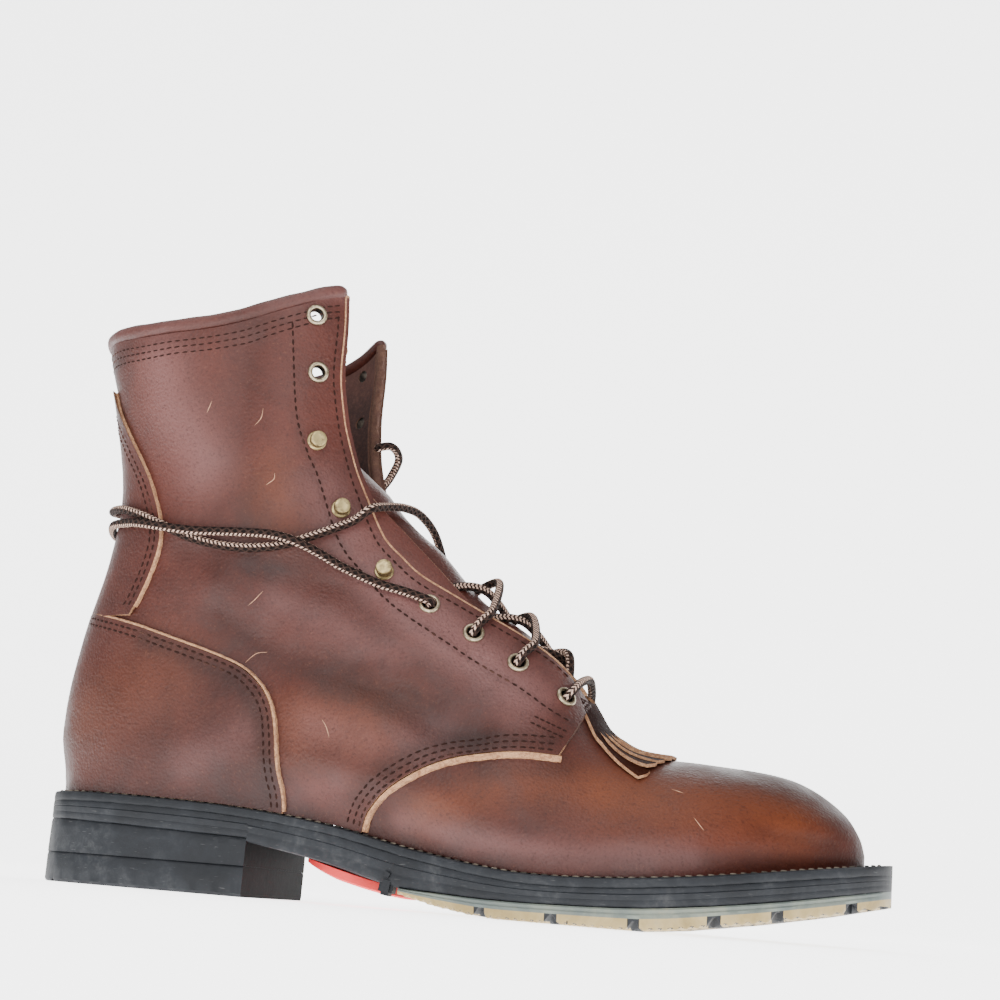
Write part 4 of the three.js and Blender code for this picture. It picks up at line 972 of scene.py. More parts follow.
# Tongue
tongueRows = table("station spread back", [
    (6.6, 0.17, 0), (8, 0.24, 0), (10, 0.31, 0), (12, 0.35, 0), (14, 0.37, 0), (15.5, 0.37, 0), (17, 0.35, 0.1),
    (18.8, 0.33, 0.3),
])
tongue = {"offset": -3.3, "thickness": 2.0, "rows": 110, "columns": 48, "fold": 0.5}
bm = bmesh.new()
tongueU = evenStations(tongueRows["station"][0], tongueRows["station"][-1], tongue["rows"])
u, share = np.meshgrid(tongueU, np.linspace(-1, 1, tongue["columns"]), indexing="ij")
spread = curve(tongueRows, "station", "spread", u)
points = skin(u, spread * share, tongue["offset"], creased=False)
points[..., 0] -= np.maximum(boot["ball"] * curve(tongueRows, "station", "back", u), 0)
ripple = tongue["fold"] * np.sin(u * 2.1 + share * 1.7) * np.exp(-(share * 1.3) ** 2) - tongue["fold"]
points = points + formNormal(u, spread * share) * ripple[..., None]
addGrid(bm, points)
faceTowards(bm, lambda f: f.normal.z + f.normal.x)
tonguePiece = finishMesh(bm, "tongue_leather_piece", [tongueMaterial, liningMaterial, rawMaterial])
thicken(tonguePiece, tongue["thickness"], 50)
paintToneAndLight(tonguePiece, 0.12)
addPiece(tonguePiece, ["tongue"])

# Kiltie: a fan of strips on the vamp
kiltie = {"rootX": 178.4, "reach": 51.6, "from": 20.5, "fan": 35, "strips": 10, "slit": 23, "gap": 0.5,
          "lift": 1.6, "thickness": 1.15, "rows": 44, "columns": 7}
topU, topTurn = np.meshgrid(np.arange(3, 13, 0.1), np.arange(-0.8, 0.81, 0.02), indexing="ij")
topPoints = skin(topU, topTurn, 0, creased=False)[..., :2].reshape(-1, 2)


def onTop(x, y, lift):
    target = np.stack([x, y], -1)
    nearest = np.array([np.argmin(((topPoints - p) ** 2).sum(1)) for p in target])
    u, turn = refine(topU.reshape(-1)[nearest], topTurn.reshape(-1)[nearest], target,
                     lambda a, b: skin(a, b, 0, creased=False)[:, :2], -0.85, 0.85)
    return skin(u, turn, 0) + formNormal(u, turn) * np.asarray(lift)[..., None]


bm = bmesh.new()
edges = np.radians(np.linspace(-kiltie["fan"], kiltie["fan"], kiltie["strips"] + 1))
for strip in range(kiltie["strips"]):
    tilt = random.uniform(0.5, 1.0)
    curl = random.uniform(-0.2, 0.7)
    reach = kiltie["reach"] * (1.0 + random.uniform(-0.015, 0.015))
    rows, columns = kiltie["rows"], kiltie["columns"]
    down, over = np.meshgrid(np.linspace(0, 1, rows), np.linspace(0, 1, columns), indexing="ij")
    far = mix(kiltie["from"], reach, down) - 1.6 * np.abs(over - 0.62) * down ** 12
    opened = smooth((far - (reach - kiltie["slit"])) / 4)
    inset = opened * kiltie["gap"] / 2 / np.maximum(far, 1)
    angle = mix(edges[strip] + inset, edges[strip + 1] - inset, over)
    x = kiltie["rootX"] + far * np.cos(angle)
    y = far * np.sin(angle)
    away = 1.3 if strip >= kiltie["strips"] / 2 else -1.3
    lift = kiltie["lift"] + opened * (tilt * (over - 0.5) * away + curl * down ** 6)
    lift = np.maximum(lift, kiltie["thickness"] + 0.1)
    addGrid(bm, onTop(x.reshape(-1), y.reshape(-1), lift.reshape(-1)).reshape(rows, columns, 3))
bmesh.ops.remove_doubles(bm, verts=bm.verts, dist=0.02 * mm)
faceTowards(bm, lambda f: f.normal.z)
kiltiePiece = finishMesh(bm, "kiltie_fringe", [fringeMaterial, liningMaterial, fringeEdge], 60)
thicken(kiltiePiece, kiltie["thickness"], 50)
paintToneAndLight(kiltiePiece, 0.6)
addPiece(kiltiePiece, ["kiltie"])
print("tongue and kiltie ready")


# Stitches
def makeThread(name, dark, pale, share):
    m = Surface(name, 0.85, Specular_IOR_Level=0.08)
    m.set(Base_Color=m.mix(m.ramp(m.noise(60, 3), share, share + 0.18), dark, pale))
    m.bump(m.noise(2500, 2), 0.4, 0.0002)
    return m.material


threadMaterial = makeThread("brown_thread", (0.02, 0.0085, 0.0065, 1), (0.075, 0.035, 0.026, 1), 0.55)
weltThread = makeThread("welt_thread", (0.13, 0.108, 0.084, 1), (0.03, 0.027, 0.024, 1), 0.46)
stitch = {"length": 2.3, "gap": 0.8, "width": 0.86, "sunk": 0.05}


def flush(bm, batch):
    # A small mesh is joined to the large one, since operators slow down on large meshes
    mesh = bpy.data.meshes.new("batch")
    batch.to_mesh(mesh)
    batch.free()
    bm.from_mesh(mesh)
    bpy.data.meshes.remove(mesh)
    return bmesh.new()


def addStitches(bm, line, normals, length=stitch["length"], gap=stitch["gap"], width=stitch["width"]):
    run = runOf(line)
    batch = bmesh.new()

    def pick(values, t):
        return np.array([np.interp(t, run, values[:, k]) for k in range(3)])

    for count, t in enumerate(np.arange(length / 2, run[-1], length + gap)):
        if count % 24 == 23:
            batch = flush(bm, batch)
        spot = np.array([np.interp(t + random.uniform(-0.08, 0.08), run, line[:, k]) for k in range(3)])
        ahead, normal = pick(line, t + 0.4), pick(normals, t)
        along = Vector(ahead - spot).normalized()
        up = Vector(normal).normalized()
        across = up.cross(along).normalized()
        along = across.cross(up)
        turn = Matrix((along, across, up)).transposed().to_4x4()
        place = Matrix.Translation(Vector(toFrame([spot + normal * -stitch["sunk"]])[0])) @ turn
        size = Matrix.Diagonal((length / 2 * mm, width / 2 * mm, width / 2 * 0.85 * mm, 1))
        bmesh.ops.create_uvsphere(batch, u_segments=6, v_segments=5, radius=1,
                                  matrix=place @ size @ Matrix.Rotation(math.pi / 2, 4, "Y"))
    flush(bm, batch)


def sideLine(line, side, lift):
    line = evenly(np.asarray(line, float), max(int(lineLength(line) / 1.5), 6))
    return onSide(line[:, 0], line[:, 1], side, lift)


def moved(line, distance):
    line = np.asarray(line, float)
    along = unit(np.gradient(line, axis=0))
    return line + np.stack([-along[:, 1], along[:, 0]], -1) * distance


# Distances of the stitch rows from their edges
seamRows = {"vamp": (2.7, 4.9, 7.2), "counter": (2.4, 4.6), "backstay": (2.2, 4.2), "collar": (6.2, 8.6, 11.0),
            "throat": 4.2, "bar": (-1.2, 1.2)}
facingRear = [(85.5, 206.7), (88.9, 174.1), (93.9, 158.9), (97.6, 151.4), (106.9, 128.9), (117.1, 117), (129.4, 105.5),
              (145.7, 95.3), (161.5, 86.8), (176.9, 79), (188.1, 72), (196.2, 68)]
bm = bmesh.new()
for side in (-1, 1):
    seam = np.array([p for p in spline(vampSeam, 80) if p[1] > featherAt(p[0]) + 1.5])
    for distance in seamRows["vamp"]:
        row = moved(seam, distance)
        addStitches(bm, *sideLine(row[row[:, 0] < 193], side, 0))
    edge = np.array([p for p in spline(counterEdge[side], 80) if p[1] > featherAt(p[0]) + 1.5])
    for distance in seamRows["counter"]:
        row = moved(edge, distance)
        addStitches(bm, *sideLine(row[row[:, 0] > 11], side, boot["overlay"] + 0.3))
    strap = spline(backstayEdge, 80)
    for distance in seamRows["backstay"]:
        row = moved(strap, distance)
        addStitches(bm, *sideLine(row[(row[:, 0] > 10) & (row[:, 1] > 100)], side, boot["overlay"] + 0.2))
    u = evenStations(throatFoot + 0.4, throatTop - 0.2, 160)
    turn = side * (throatTurn(u) + 0.006)
    base, normals = skin(u, turn, boot["panel"]), formNormal(u, turn)
    spots = base + np.cross(normals, unit(np.gradient(base, axis=0))) * -side * seamRows["throat"]
    inside = (spots[:, 2] < collarAt(spots[:, 0]) - 9) & (spots[:, 2] > 70)
    addStitches(bm, *sideLine(spots[inside][:, [0, 2]], side, 0))
    addStitches(bm, *sideLine(spline(facingRear, 140), side, 0))
for drop in seamRows["collar"]:
    line, up = collarLine(drop, boot["panel"], 240, 0.03)
    addStitches(bm, line, up, width=0.66)
bar = [(183.6, 67.6), (194.4, 63.4)]
for side in (-1, 1):
    for distance in seamRows["bar"]:
        addStitches(bm, *sideLine(moved(bar, distance), side, 0), length=1.8, gap=0.3)
makePiece(bm, "leather_stitches", [threadMaterial], 80)


# Metal
def makeMetal(name, bright, dull, roughness):
    m = Surface(name, roughness, Metallic=1.0)
    patina = m.noise(420, 5, 0.65)
    m.set(Base_Color=m.mix(m.ramp(patina, 0.42, 0.68), bright, dull))
    m.set(Roughness=m.ramp(patina, 0.3, 0.7, roughness - 0.08, roughness + 0.2))
    m.bump(patina, 0.25, 0.0002)
    return m.material


ringMaterial = makeMetal("pale_brass", (0.42, 0.35, 0.24, 1), (0.18, 0.14, 0.09, 1), 0.34)
studMaterial = makeMetal("old_brass", (0.42, 0.33, 0.16, 1), (0.14, 0.1, 0.055, 1), 0.4)
barrelMaterial = makeMetal("dark_barrel", (0.05, 0.04, 0.032, 1), (0.02, 0.016, 0.014, 1), 0.6)


def lathe(bm, profile, place, steps, closed=False):
    old = set(bm.verts)
    verts = [bm.verts.new((r * mm, 0, h * mm)) for r, h in profile]
    pairs = list(zip(verts[:-1], verts[1:])) + ([(verts[-1], verts[0])] if closed else [])
    edges = [bm.edges.new(pair) for pair in pairs]
    bmesh.ops.spin(bm, geom=verts + edges, cent=(0, 0, 0), axis=(0, 0, 1), dvec=(0, 0, 0), angle=2 * math.pi,
                   steps=steps, use_merge=True, use_duplicate=False)
    made = [v for v in bm.verts if v not in old]
    bmesh.ops.remove_doubles(bm, verts=made, dist=1e-7)
    made = [v for v in bm.verts if v not in old]
    bmesh.ops.transform(bm, matrix=place, verts=made)
    bmesh.ops.recalc_face_normals(bm, faces=list({f for v in made for f in v.link_faces}))


ringProfile = [(2.35, 0.2), (2.4, 0.6), (2.65, 0.95), (3.05, 1.1), (3.5, 0.95), (3.82, 0.5), (3.86, 0.12), (3.4, 0.05),
               (2.75, 0.05)]
barrelProfile = [(2.3, -3.4), (2.3, 0.5), (2.6, 0.4), (2.6, -3.4)]
studProfile = [(0, 0.1), (3.4, 0.1), (3.5, 0.4), (3.2, 0.75), (2.3, 0.9), (2.2, 1.3), (2.8, 1.6), (2.95, 1.9),
               (2.95, 4.0), (2.75, 4.35), (2.2, 4.5), (1.5, 4.42), (0, 4.4)]
rings, studs, barrels = bmesh.new(), bmesh.new(), bmesh.new()
for (side, number), spot in lacing["spots"].items():
    place = placeOn(spot)
    if number in lacing["eyelets"]:
        lathe(rings, ringProfile, place, 40, closed=True)
        lathe(barrels, barrelProfile, place, 28, closed=True)
    else:
        lathe(studs, studProfile, place, 40)
sideNames = {-1: "outer", 1: "inner"}


def metalNodes(kind, numbers):
    return [f"{kind}_{sideNames[side]}_{number}" for side in (-1, 1) for number in numbers]


makePiece(rings, "eyelet_rings", [ringMaterial], 50, metalNodes("eyelet", lacing["eyelets"]))
makePiece(studs, "lace_studs", [studMaterial], 35, metalNodes("hook", lacing["hooks"]))
makePiece(barrels, "eyelet_barrels", [barrelMaterial], 50)


# Lace
def makeBraid():
    # Round the cord runs U, along it V: a dark weave with two pale flecked stripes
    m = Surface("braided_lace", 0.8, Specular_IOR_Level=0.12)
    u, v, _ = list(m.axes(m.add("TexCoord").outputs["UV"]))
    turns, along = m.times(u, math.pi * 8, False), m.times(v, math.pi * 4, False)
    weave = m.math("MAXIMUM", m.math("SINE", m.math("ADD", turns, along)),
                   m.math("SINE", m.math("SUBTRACT", turns, along)))
    fromStripe = m.times(m.math("SUBTRACT", u, 0.62), math.pi * 4, False)
    stripe = m.ramp(m.math("COSINE", fromStripe), 0.1, 0.35)
    zig = m.math("ABSOLUTE", m.math("SINE", fromStripe))
    fleck = m.math("SINE", m.math("ADD", m.times(v, math.pi * 8, False), m.times(zig, 3.0, False)))
    colour = m.mix(m.ramp(weave, 0.1, 0.9), (0.008, 0.0045, 0.0038, 1), (0.036, 0.02, 0.0155, 1))
    m.set(Base_Color=m.mix(m.times(stripe, m.ramp(fleck, -0.15, 0.25)), colour, (0.56, 0.38, 0.3, 1)))
    m.bump(weave, 0.9, 0.0005)
    return m.material


laceMaterial = makeBraid()
lace = {"radius": 1.6, "sides": 14, "step": 1.0, "pitch": 6.4, "top": 4}


def addCord(bm, points):
    line = spline(points, max(int(lineLength(points) / lace["step"]), 12))
    radius = lace["radius"] * roundedEnds(len(line), 1.5, 0.05)
    addTube(bm, tubeRings(line, radius, lace["sides"]), (1, lineLength(line) / lace["pitch"]))
    return line


def hole(side, number, lift):
    spot = lacing["spots"][side, number]
    return spot["point"] + spot["normal"] * lift


def nearHole(side, number, share, lift):
    spot = lacing["spots"][side, number]
    return skin([spot["u"]], [spot["turn"] * share], boot["panel"] + lift)[0]


# A crossing leaves an eyelet outwards, arches over the tongue and dives under the other flap
def overFlap(side, number, share, lift):
    return [hole(side, number, -2.4), hole(side, number, 0.7), nearHole(side, number, 0.9, lift[0]),
            nearHole(side, number, share, lift[1])]


def underFlap(side, number):
    return [nearHole(side, number, 0.5, -5.0), nearHole(side, number, 0.8, -5.4), hole(side, number, -3.6)]


def crossingPoints(number, side):
    first, last = lacing["spots"][side, number], lacing["spots"][-side, number + 1]
    arch = 4.5 if side < 0 and number == 3 else 2.2 if side < 0 else -0.8
    middle = skin([first["u"] * 0.45 + last["u"] * 0.55], [0.0], arch)[0]
    start = underFlap(side, 1)[::-1] if number == 1 else overFlap(side, number, 0.66, (2.6, 2.5))
    return [*start, middle, *underFlap(-side, number + 1)]


bm = bmesh.new()
bottom = [overFlap(side, 1, 0.6, (2.5, 2.3)) for side in (-1, 1)]
addCord(bm, [*bottom[0], skin([lacing["spots"][-1, 1]["u"]], [0.0], 3.4)[0], *bottom[1][::-1]])
for side in (-1, 1):
    for number in range(1, lace["top"]):
        addCord(bm, crossingPoints(number, side))
makePiece(bm, "lace_over_tongue", [laceMaterial], 80, ["lace_crossings"])

# Free lengths: x, z, side, lift above the leather, or x, y, z in the air with None
outerStrand = [
    (132.9, 110.2, -1, 2.2), (124.6, 112.2, -1, 2.1), (116, 115.6, -1, 2.1), (108.4, 119, -1, 2.3), (100, 123, -1, 4),
    (92, 126, -1, 6), (84, 128.2, -1, 4), (75, 128.6, -1, 2.3), (65, 128.4, -1, 2.6), (56, 128, -1, 5),
    (47, 128.6, -1, 6.4), (38, 130, -1, 6), (30, 131.2, -1, 4.4), (20, 132, -1, 4.1), (9.6, 0, 132.2, None),
    (20, 131.6, 1, 4.1), (32, 130.4, 1, 4.1), (44, 128.8, 1, 3.6), (56, 127, 1, 2.2), (68, 124.6, 1, 2.2),
    (79, 121.2, 1, 2.2), (88, 117, 1, 2.2),
]
innerStrand = [
    (138.6, 28, 119, None), (134.2, 25, 132, None), (131.6, 16, 142, None), (128.2, 5, 146.6, None),
    (124.6, -5.5, 146.6, None), (121, -16, 144.2, None), (117.6, -25, 141, None),
    (111, 136.2, -1, 2.4), (105, 132.6, -1, 2.2), (97, 128.6, -1, 2.2), (88, 125, -1, 2.1), (78.5, 123.4, -1, 2.1),
    (69.5, 123.2, -1, 2.1), (60.5, 124.4, -1, 2.1), (52, 126.6, -1, 2.4), (43, 130.4, -1, 3.2), (34, 134.4, -1, 4.4),
    (25, 137.4, -1, 4.3), (16.5, 139.6, -1, 4.8), (10.2, 0, 141.6, None), (16.5, 141, 1, 4.8), (25, 139.8, 1, 4.3),
    (36, 137.4, 1, 4.1), (48, 135, 1, 3.4), (60, 133.4, 1, 2.2), (74, 133, 1, 2.2), (86, 135.4, 1, 2.2),
    (95, 141, 1, 2.2), (100, 150, 1, 2.2), (102.5, 160, 1, 2.4), (107, 32.5, 168.5, None), (111.5, 26.6, 174.6, None),
    (109.6, 21, 178, None), (103.6, 17.8, 176.2, None),
]


def strandPoints(rows, side):
    points = [hole(side, lace["top"], -2.0), hole(side, lace["top"], 0.6), hole(side, lace["top"], 2.4)]
    for a, b, c, lift in rows:
        if lift is None:
            points.append(np.array([a, b, c], float))
        else:
            points.append(onSide(a, b, c, lift)[0][0])
    return points


for name, rows, side, node in (("lace_strand_outer", outerStrand, -1, "lace_end_outer"),
                               ("lace_strand_inner", innerStrand, 1, "lace_end_inner")):
    bm = bmesh.new()
    line = addCord(bm, strandPoints(rows, side))
    strand = makePiece(bm, name, [laceMaterial], 80, [node])


# Sole: layers with one ring per place along X, between two heights
def makeRubber(name, dark, light, dust, roughness, dustShare):
    m = Surface(name, roughness)
    patches, fine = m.noise(34, 6, 0.65, 0.5), m.noise(420, 5, 0.65)
    colour = m.mix(m.ramp(patches, 0.35, 0.68), dark, light)
    worn = m.times(m.ramp(patches, 0.5, 0.74), m.ramp(fine, 0.38, 0.7))
    colour = m.mix(m.times(worn, dustShare), colour, dust)
    scratches = m.noise(260, 3, 0.5, 0.0, m.stretched((1, 1, 9), (0, 0.35, 0)))
    colour = m.mix(m.ramp(scratches, 0.66, 0.74, 0.0, 0.5), colour, dust)
    # The heel's front face, turned towards the toe in the hollow under the waist, is made near black with little
    # reflection
    facing = m.axes(m.add("NewGeometry").outputs["Normal"])[0]
    breast = m.times(m.ramp(facing, 0.7, 0.9), m.ramp(m.axes()[0], -0.02, -0.01, 1.0, 0.0))
    m.set(Base_Color=m.mix(m.times(breast, 0.9, False), colour, (0.0025, 0.0022, 0.002, 1)))
    m.set(Specular_IOR_Level=m.ramp(breast, 0.0, 1.0, 0.3, 0.03))
    m.bump(m.math("ADD", fine, patches), 0.3, 0.0004)
    return m.material


# Dark, light and dusty colour, roughness, and how much dust
blackRubber = makeRubber("black_rubber_dusty", (0.0045, 0.0056, 0.0078, 1), (0.012, 0.0143, 0.0184, 1),
                         (0.085, 0.085, 0.085, 1), 0.62, 0.5)
gumRubber = makeRubber("gum_rubber_worn", (0.25, 0.18, 0.07, 1), (0.42, 0.32, 0.15, 1),
                       (0.16, 0.17, 0.15, 1), 0.5, 0.7)
gumTop = makeRubber("gum_rubber_blue", (0.085, 0.105, 0.1, 1), (0.17, 0.19, 0.155, 1),
                    (0.28, 0.24, 0.15, 1), 0.55, 0.6)
redRubber = makeRubber("red_rubber_worn", (0.62, 0.035, 0.035, 1), (0.74, 0.06, 0.055, 1),
                       (0.4, 0.12, 0.11, 1), 0.5, 0.4)

sole = {"welt": 3.0, "gap": 0.35, "close": 0.32, "topLift": 11.0, "treadFrom": 0.47, "insertX": 0.398}
undersideRows = table("at rise", [
    (0.286, 0.577), (0.37, 0.442), (0.442, 0.28), (0.468, 0.232), (0.512, 0.208), (0.577, 0.184), (0.66, 0.19),
    (0.75, 0.228), (0.858, 0.357), (0.957, 0.53), (1.03, 0.68),
])
treadRows = table("at rise", [
    (0.468, 0.36), (0.514, 0.16), (0.56, 0.03), (0.585, 0), (0.74, 0), (0.77, 0.06), (0.858, 0.35), (0.934, 0.65),
    (1.03, 1.1),
])
notches = (0.569, 0.649, 0.7365, 0.817, 0.88, 0.955)
grooves = (0.53, 0.609, 0.693, 0.777, 0.849, 0.914)


def undersideAt(x):
    return boot["feather"] * curve(undersideRows, "at", "rise", np.asarray(x) / boot["length"])


def treadAt(x):
    return boot["toeSpring"] * np.interp(np.asarray(x) / boot["length"], treadRows["at"], treadRows["rise"])


def weltTopAt(x):
    return featherAt(x) - sole["gap"]


def midTopAt(x):
    return weltTopAt(x) - sole["welt"] - sole["gap"]


def seatAt(x):
    return boot["heelHeight"] + boot["heelWedge"] * np.maximum(1 - x / boot["heelLength"], 0)


def places(fromX, toX, count):
    angles = np.linspace(np.arccos(1 - 2 * max(fromX, 0) / boot["length"]),
                         np.arccos(1 - 2 * min(toX, boot["length"]) / boot["length"]), count)
    return boot["length"] * (1 - np.cos(angles)) / 2


def layer(name, node, materials, xs, topAt, bottomAt, grow, profile, bottomSteps, shape, slot="black_rubber"):
    # profile: (share of the height from the top, how far the side is drawn in)
    scale = (boot["ball"] / 2 + grow) / (boot["ball"] / 2)
    share = np.clip(xs / boot["length"], 0.0, 1.0)
    near = -boot["ball"] * outlineAt("lateral", share) * scale
    far = boot["ball"] * outlineAt("medial", share) * scale
    room = np.maximum(far - near, 0.04) * 0.42
    top, bottom = topAt(xs) + 0 * xs, bottomAt(xs) + 0 * xs
    columns = [(near + np.minimum(inset, room), mix(top, bottom, drop)) for drop, inset in profile]
    steps = np.linspace(0, 1, bottomSteps + 2)[1:-1]
    tuck, lip = np.minimum(profile[-1][1], room), np.minimum(profile[0][1], room)
    columns += [(mix(near + tuck, far - tuck, q), bottom) for q in steps]
    columns += [(far - np.minimum(inset, room), mix(top, bottom, drop)) for drop, inset in profile[::-1]]
    columns += [(mix(far - lip, near + lip, q), top) for q in steps]
    points = shape(np.stack([np.stack([xs, y, z], -1) for y, z in columns], 1))
    bm = bmesh.new()
    addTube(bm, points)
    return makePiece(bm, name, materials, 35, [node])


def edgeShare(x, y):
    # 0 in the middle of the sole, 1 at its edge
    share = np.clip(x / boot["length"], 0, 1)
    half = np.where(y < 0, outlineAt("lateral", share), outlineAt("medial", share)) * boot["ball"]
    return np.abs(y) / np.maximum(half, 1)


def roughen(amount, seed):
    shift = np.random.default_rng(seed).uniform(0, 6, 6)

    def shape(points):
        x, y, z = np.moveaxis(points, -1, 0)
        wave = (np.sin(x * 0.31 + shift[0]) + np.sin(x * 0.83 + z * 0.4 + shift[1])
                + np.sin(y * 0.27 + x * 0.11 + shift[2]))
        outward = np.sign(y) * np.clip(edgeShare(x, y) - 0.8, 0, 0.2) * 5
        return np.stack([x, y + outward * wave * amount / 3, z], -1)
    return shape


whole = places(0, boot["length"], 300)
layer("storm_welt", "welt", [blackRubber], whole, weltTopAt, lambda x: weltTopAt(x) - sole["welt"] - sole["close"],
      -0.6, ((0, 0.9), (0.14, 0.25), (0.4, 0.0), (0.7, 0.0), (0.9, 0.1), (1, 0.35)), 8, roughen(0.18, 4))


def midBottomAt(x):
    return np.where(x < boot["heelLength"], seatAt(x) - sole["close"], undersideAt(x))


breastXs = [boot["heelLength"] - 0.02, boot["heelLength"] + 0.02]
middleXs = np.sort(np.concatenate([places(0, boot["length"], 330), breastXs]))
midProfile = ((0, 0.3), (0.05, 0.1), (0.16, 0.0), (0.26, 0.0), (0.29, 0.25), (0.32, 0.0), (0.56, 0.05), (0.6, 0.15),
              (0.64, 0.05), (0.86, 0.1), (0.95, 0.4), (1, 1.1))
layer("rubber_midsole", "midsole", [blackRubber], middleXs, midTopAt, midBottomAt, -0.2, midProfile, 10,
      roughen(0.25, 5))

heelShape = roughen(0.3, 8)
heelXs = np.append(places(0, boot["heelLength"], 110), boot["heelLength"])
layer("heel_lift_rubber", "heel_lift", [blackRubber], heelXs, lambda x: seatAt(x) - sole["gap"],
      lambda x: sole["topLift"] - sole["close"], -0.5,
      ((0, 0.7), (0.08, 0.1), (0.3, 0.0), (0.6, 0.05), (0.92, 0.0), (1, 0.0)), 8, heelShape)
heelTread = {"pitch": 9.5, "depth": 1.2, "share": 0.72, "x": (12, 78), "y": (9, 27), "worn": 0.5, "wornTo": 9}


def topLiftShape(points):
    points = heelShape(points)
    x, y, z = np.moveaxis(points, -1, 0)
    fromX, toX = heelTread["x"]
    fromY, toY = heelTread["y"]
    inside = (np.abs(y) > fromY) * (np.abs(y) < toY) * (x > fromX) * (x < toX)
    groove = heelTread["depth"] * (np.sin(x * 2 * np.pi / heelTread["pitch"]) > heelTread["share"]) * inside
    worn = heelTread["worn"] * smooth((heelTread["wornTo"] - x) / heelTread["wornTo"])
    return np.stack([x, y, np.where(z < 0.4, z + worn + groove, z)], -1)


layer("heel_top_lift_rubber", "heel_top_lift", [blackRubber], heelXs, lambda x: sole["topLift"] - sole["gap"],
      lambda x: 0.0 * x, -0.4, ((0, 0.8), (0.05, 0.35), (0.12, 0.0), (0.5, 0.0), (0.9, 0.1), (1, 0.9)), 24,
      topLiftShape)

# Gum tread: serrated lugs below a bluish top edge
treadXs = np.arange(boot["length"] * sole["treadFrom"], boot["length"] - 1.0, 0.42)
treadXs = np.append(treadXs, places(boot["length"] - 1.0, boot["length"], 8)[1:])


def treadTopAt(x):
    return undersideAt(x) - sole["gap"] + sole["close"]


def treadBottomAt(x):
    return np.minimum(treadAt(x), treadTopAt(x) - 1.2)


lug = {"notch": 2.1, "notchRise": 3.1, "notchIn": 3.0, "groove": 1.3, "grooveRise": 2.2, "tooth": 3.0,
       "toothRise": 1.15, "toothIn": 0.5, "slant": 0.3}


def nearAny(x, shares, most, width):
    return np.max([np.clip(most - np.abs(x - boot["length"] * share) / width, 0, 1) for share in shares], 0)


def toothAt(x, y):
    return np.abs(((x + lug["slant"] * np.abs(y)) / lug["tooth"]) % 1 - 0.5) * 2


def treadShape(points):
    points = roughen(0.3, 6)(points)
    x, y, z = np.moveaxis(points, -1, 0)
    top, bottom = treadTopAt(x), treadBottomAt(x)
    down = np.clip((top - z) / np.maximum(top - bottom, 0.1), 0, 1)
    edge = edgeShare(x, y)
    notch = nearAny(x, notches, 1.25, lug["notch"])
    teeth = toothAt(x, y)
    rise = np.max([notch * lug["notchRise"] * (edge > 0.76),
                   nearAny(x, grooves, 1.3, lug["groove"]) * lug["grooveRise"] * (edge < 0.6),
                   teeth * lug["toothRise"] * (edge > 0.7)], 0)
    room = np.maximum(top - bottom - 1.0, 0)
    z = np.where(down > 0.3, np.maximum(z, bottom + np.minimum(rise, room)), z)
    drawn = notch * lug["notchIn"] * np.clip(down * 1.6 - 0.55, 0, 1)
    drawn = (drawn + teeth * lug["toothIn"] * np.clip(down * 3 - 2, 0, 1)) * np.clip(edge * 6 - 5, 0, 1)
    return np.stack([x, y - np.sign(y) * drawn, z], -1)


treadProfile = ((0, 0.7), (0.08, 0.15), (0.22, 0.35), (0.3, 0.0), (0.45, 0.05), (0.6, 0.1), (0.74, 0.1),
                (0.86, 0.15), (0.95, 0.3), (1, 0.9))
tread = layer("gum_tread", "tread", [gumRubber, gumTop, blackRubber], treadXs, treadTopAt, treadBottomAt, 0.4,
              treadProfile, 40, treadShape, "gum_rubber")
corners = meshPoints(tread.data)
for polygon in tread.data.polygons:
    # Bluish above, black rubber in the notches and between the teeth
    x, y, z = corners[list(polygon.vertices)].mean(0)
    down = (treadTopAt(x) - z) / max(treadTopAt(x) - treadBottomAt(x), 0.1)
    inNotch = min(abs(x - boot["length"] * share) for share in notches) < 1.9 and down > 0.45
    if down < 0.4:
        polygon.material_index = 1
    elif inNotch or (toothAt(x, y) > 0.6 and down > 0.8):
        polygon.material_index = 2

# Red pad under the waist
bm = bmesh.new()
pad = {"length": 0.064, "width": 0.27, "shift": -0.02, "thickness": 4.0, "steps": 64}
halfLength, halfWidth = boot["length"] * pad["length"], boot["ball"] * pad["width"]
centreX = boot["length"] * sole["insertX"]


def padUnder(x):
    return mix(0.45, 1, smooth((x - centreX + halfLength) / halfLength)) * pad["thickness"]


padProfile = ((0.02, 0), (0.5, 0), (0.95, 0), (1.0, 0.1), (1.0, 0.8), (0.97, 0.94), (0.9, 1.0), (0.5, 1.0), (0.02, 1.0))
angles = np.linspace(0, 2 * np.pi, pad["steps"], endpoint=False)
rings = []
for scale, depth in padProfile:
    x = centreX + halfLength * scale * np.cos(angles)
    y = boot["ball"] * pad["shift"] + halfWidth * scale * np.sin(angles)
    rings.append(np.stack([x, y, undersideAt(x) - sole["gap"] - depth * padUnder(x)], -1))
addTube(bm, rings)
makePiece(bm, "red_waist_pad", [redRubber], 40, ["waist_insert"])

# A rubber nub at each end of the gum tread, at the waist
nub = {"at": 0.455, "inset": 3.4, "size": (5.0, 7.0, 6.4), "tipSize": (3.0, 5.6, 3.0), "tipUp": 3.4, "tipOut": 1.2}
bm = bmesh.new()


def addBox(bm, centre, size, turn):
    place = Matrix.Translation(Vector(toFrame([centre])[0])) @ Matrix.Rotation(turn, 4, "Y")
    made = bmesh.ops.create_cube(bm, size=1, matrix=place @ Matrix.Diagonal((*(s * mm for s in size), 1)))["verts"]
    edges = list({e for v in made for e in v.link_edges})
    bmesh.ops.bevel(bm, geom=edges, offset=min(size) * 0.22 * mm, segments=2, affect="EDGES")


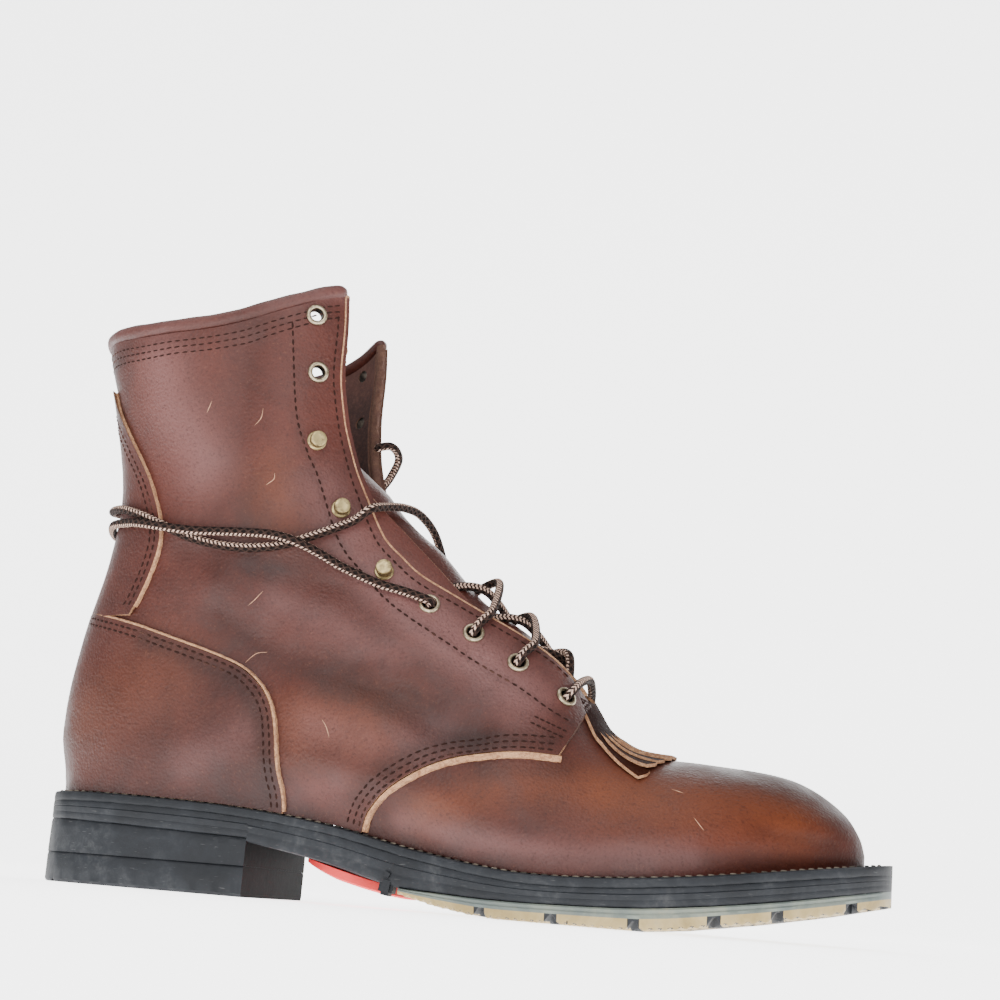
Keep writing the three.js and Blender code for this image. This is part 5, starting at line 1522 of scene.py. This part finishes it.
for side, column in ((-1, "lateral"), (1, "medial")):
    x = boot["length"] * nub["at"]
    y = side * (boot["ball"] * float(outlineAt(column, nub["at"])) - nub["inset"])
    z = float(undersideAt(x))
    addBox(bm, (x, y, z - 0.4), nub["size"], 0.16)
    addBox(bm, (x + 0.4, y + side * nub["tipOut"], z + nub["tipUp"]), nub["tipSize"], 0.5)
makePiece(bm, "sole_side_ribs", [blackRubber], 40)

weltSeam = {"from": 0.03, "to": 0.985, "inset": 2.3, "lift": 0.16, "length": 2.5, "gap": 1.1, "width": 0.95}
bm = bmesh.new()
for side, column in ((-1, "lateral"), (1, "medial")):
    share = np.linspace(weltSeam["from"], weltSeam["to"], 400)
    y = side * (boot["ball"] * outlineAt(column, share) - weltSeam["inset"])
    x = boot["length"] * share
    line = evenly(np.stack([x, y, weltTopAt(x) + weltSeam["lift"]], -1), 500)
    addStitches(bm, line, np.tile([0, 0, 1.0], (len(line), 1)), weltSeam["length"], weltSeam["gap"],
                weltSeam["width"])
makePiece(bm, "welt_stitches", [weltThread], 80)


# Insole board
def makeBoard():
    m = Surface("insole_board_worn", 0.8)
    m.set(Base_Color=m.mix(m.ramp(m.noise(40, 5), 0.3, 0.7), (0.2, 0.12, 0.075, 1), (0.38, 0.26, 0.17, 1)))
    m.bump(m.noise(800, 5, 0.7), 0.4, 0.0003)
    return m.material


board = {"clearance": 0.6, "back": 3.6, "shorter": 8.4, "top": 2.9, "bottom": 0.1, "dish": 0.5, "columns": 30}
boardXs = heelTip + board["back"] + (toeTip - heelTip - board["shorter"]) * (1 - np.cos(np.linspace(0, np.pi, 130))) / 2
halves = {}
for side in (-1, 1):
    u, turn = findPlace(boardXs, featherAt(boardXs) + 1.5, side)
    halves[side] = skin(u, turn, -boot["wall"] - board["clearance"], creased=False)[:, 1]
ends = np.sqrt(np.clip(1 - np.abs(np.linspace(-1, 1, len(boardXs))) ** 14, 0.02, 1))
middle = (halves[-1] + halves[1]) / 2
low, high = (middle + (halves[side] - middle) * ends for side in (-1, 1))
across = np.linspace(0, 1, board["columns"])
dish = board["dish"] * np.sin(np.pi * across)
rings = []
for i, x in enumerate(boardXs):
    z = float(featherAt(x))
    top = [[x, mix(low[i], high[i], q), z + board["top"] - d] for q, d in zip(across, dish)]
    bottom = [[x, mix(high[i], low[i], q), z + board["bottom"]] for q in across]
    rings.append(top + bottom)
bm = bmesh.new()
addTube(bm, rings)
makePiece(bm, "insole_board_piece", [makeBoard()], 40, ["insole"])

# Pale scuffs on the leather
scuffs = [
    [(77.9, 102.1), (80.3, 104.4), (82.9, 107.8)], [(79.1, 81.7), (82.4, 85.5), (86.8, 86.4)],
    [(78.5, 60.4), (80.7, 58.1), (82.1, 58.9)], [(80.1, 146.5), (82.9, 148.8), (83, 151.1)],
    [(240.7, 38.6), (242.4, 36.5), (244.5, 34)], [(74, 168), (76.5, 171), (77, 174.6)],
    [(111, 62.6), (113, 60), (114.6, 56.3)], [(56, 172), (57.5, 176.5)], [(232, 48.2), (236.2, 47)],
]
bm = bmesh.new()
for row in scuffs:
    line = spline(row, 14)
    base, normals = onSide(line[:, 0], line[:, 1], -1, -0.02 if line[0, 0] < 200 else -boot["panel"] - 0.02)
    width = 0.16 * np.sin(np.linspace(0.15, np.pi - 0.15, len(line)))
    addTube(bm, tubeRings(base, width, 6))
m = Surface("pale_scuff", 0.8)
m.set(Base_Color=m.mix(m.noise(500), (0.3, 0.13, 0.08, 1), (0.55, 0.33, 0.2, 1)))
makePiece(bm, "leather_scuffs", [m.material], 80)
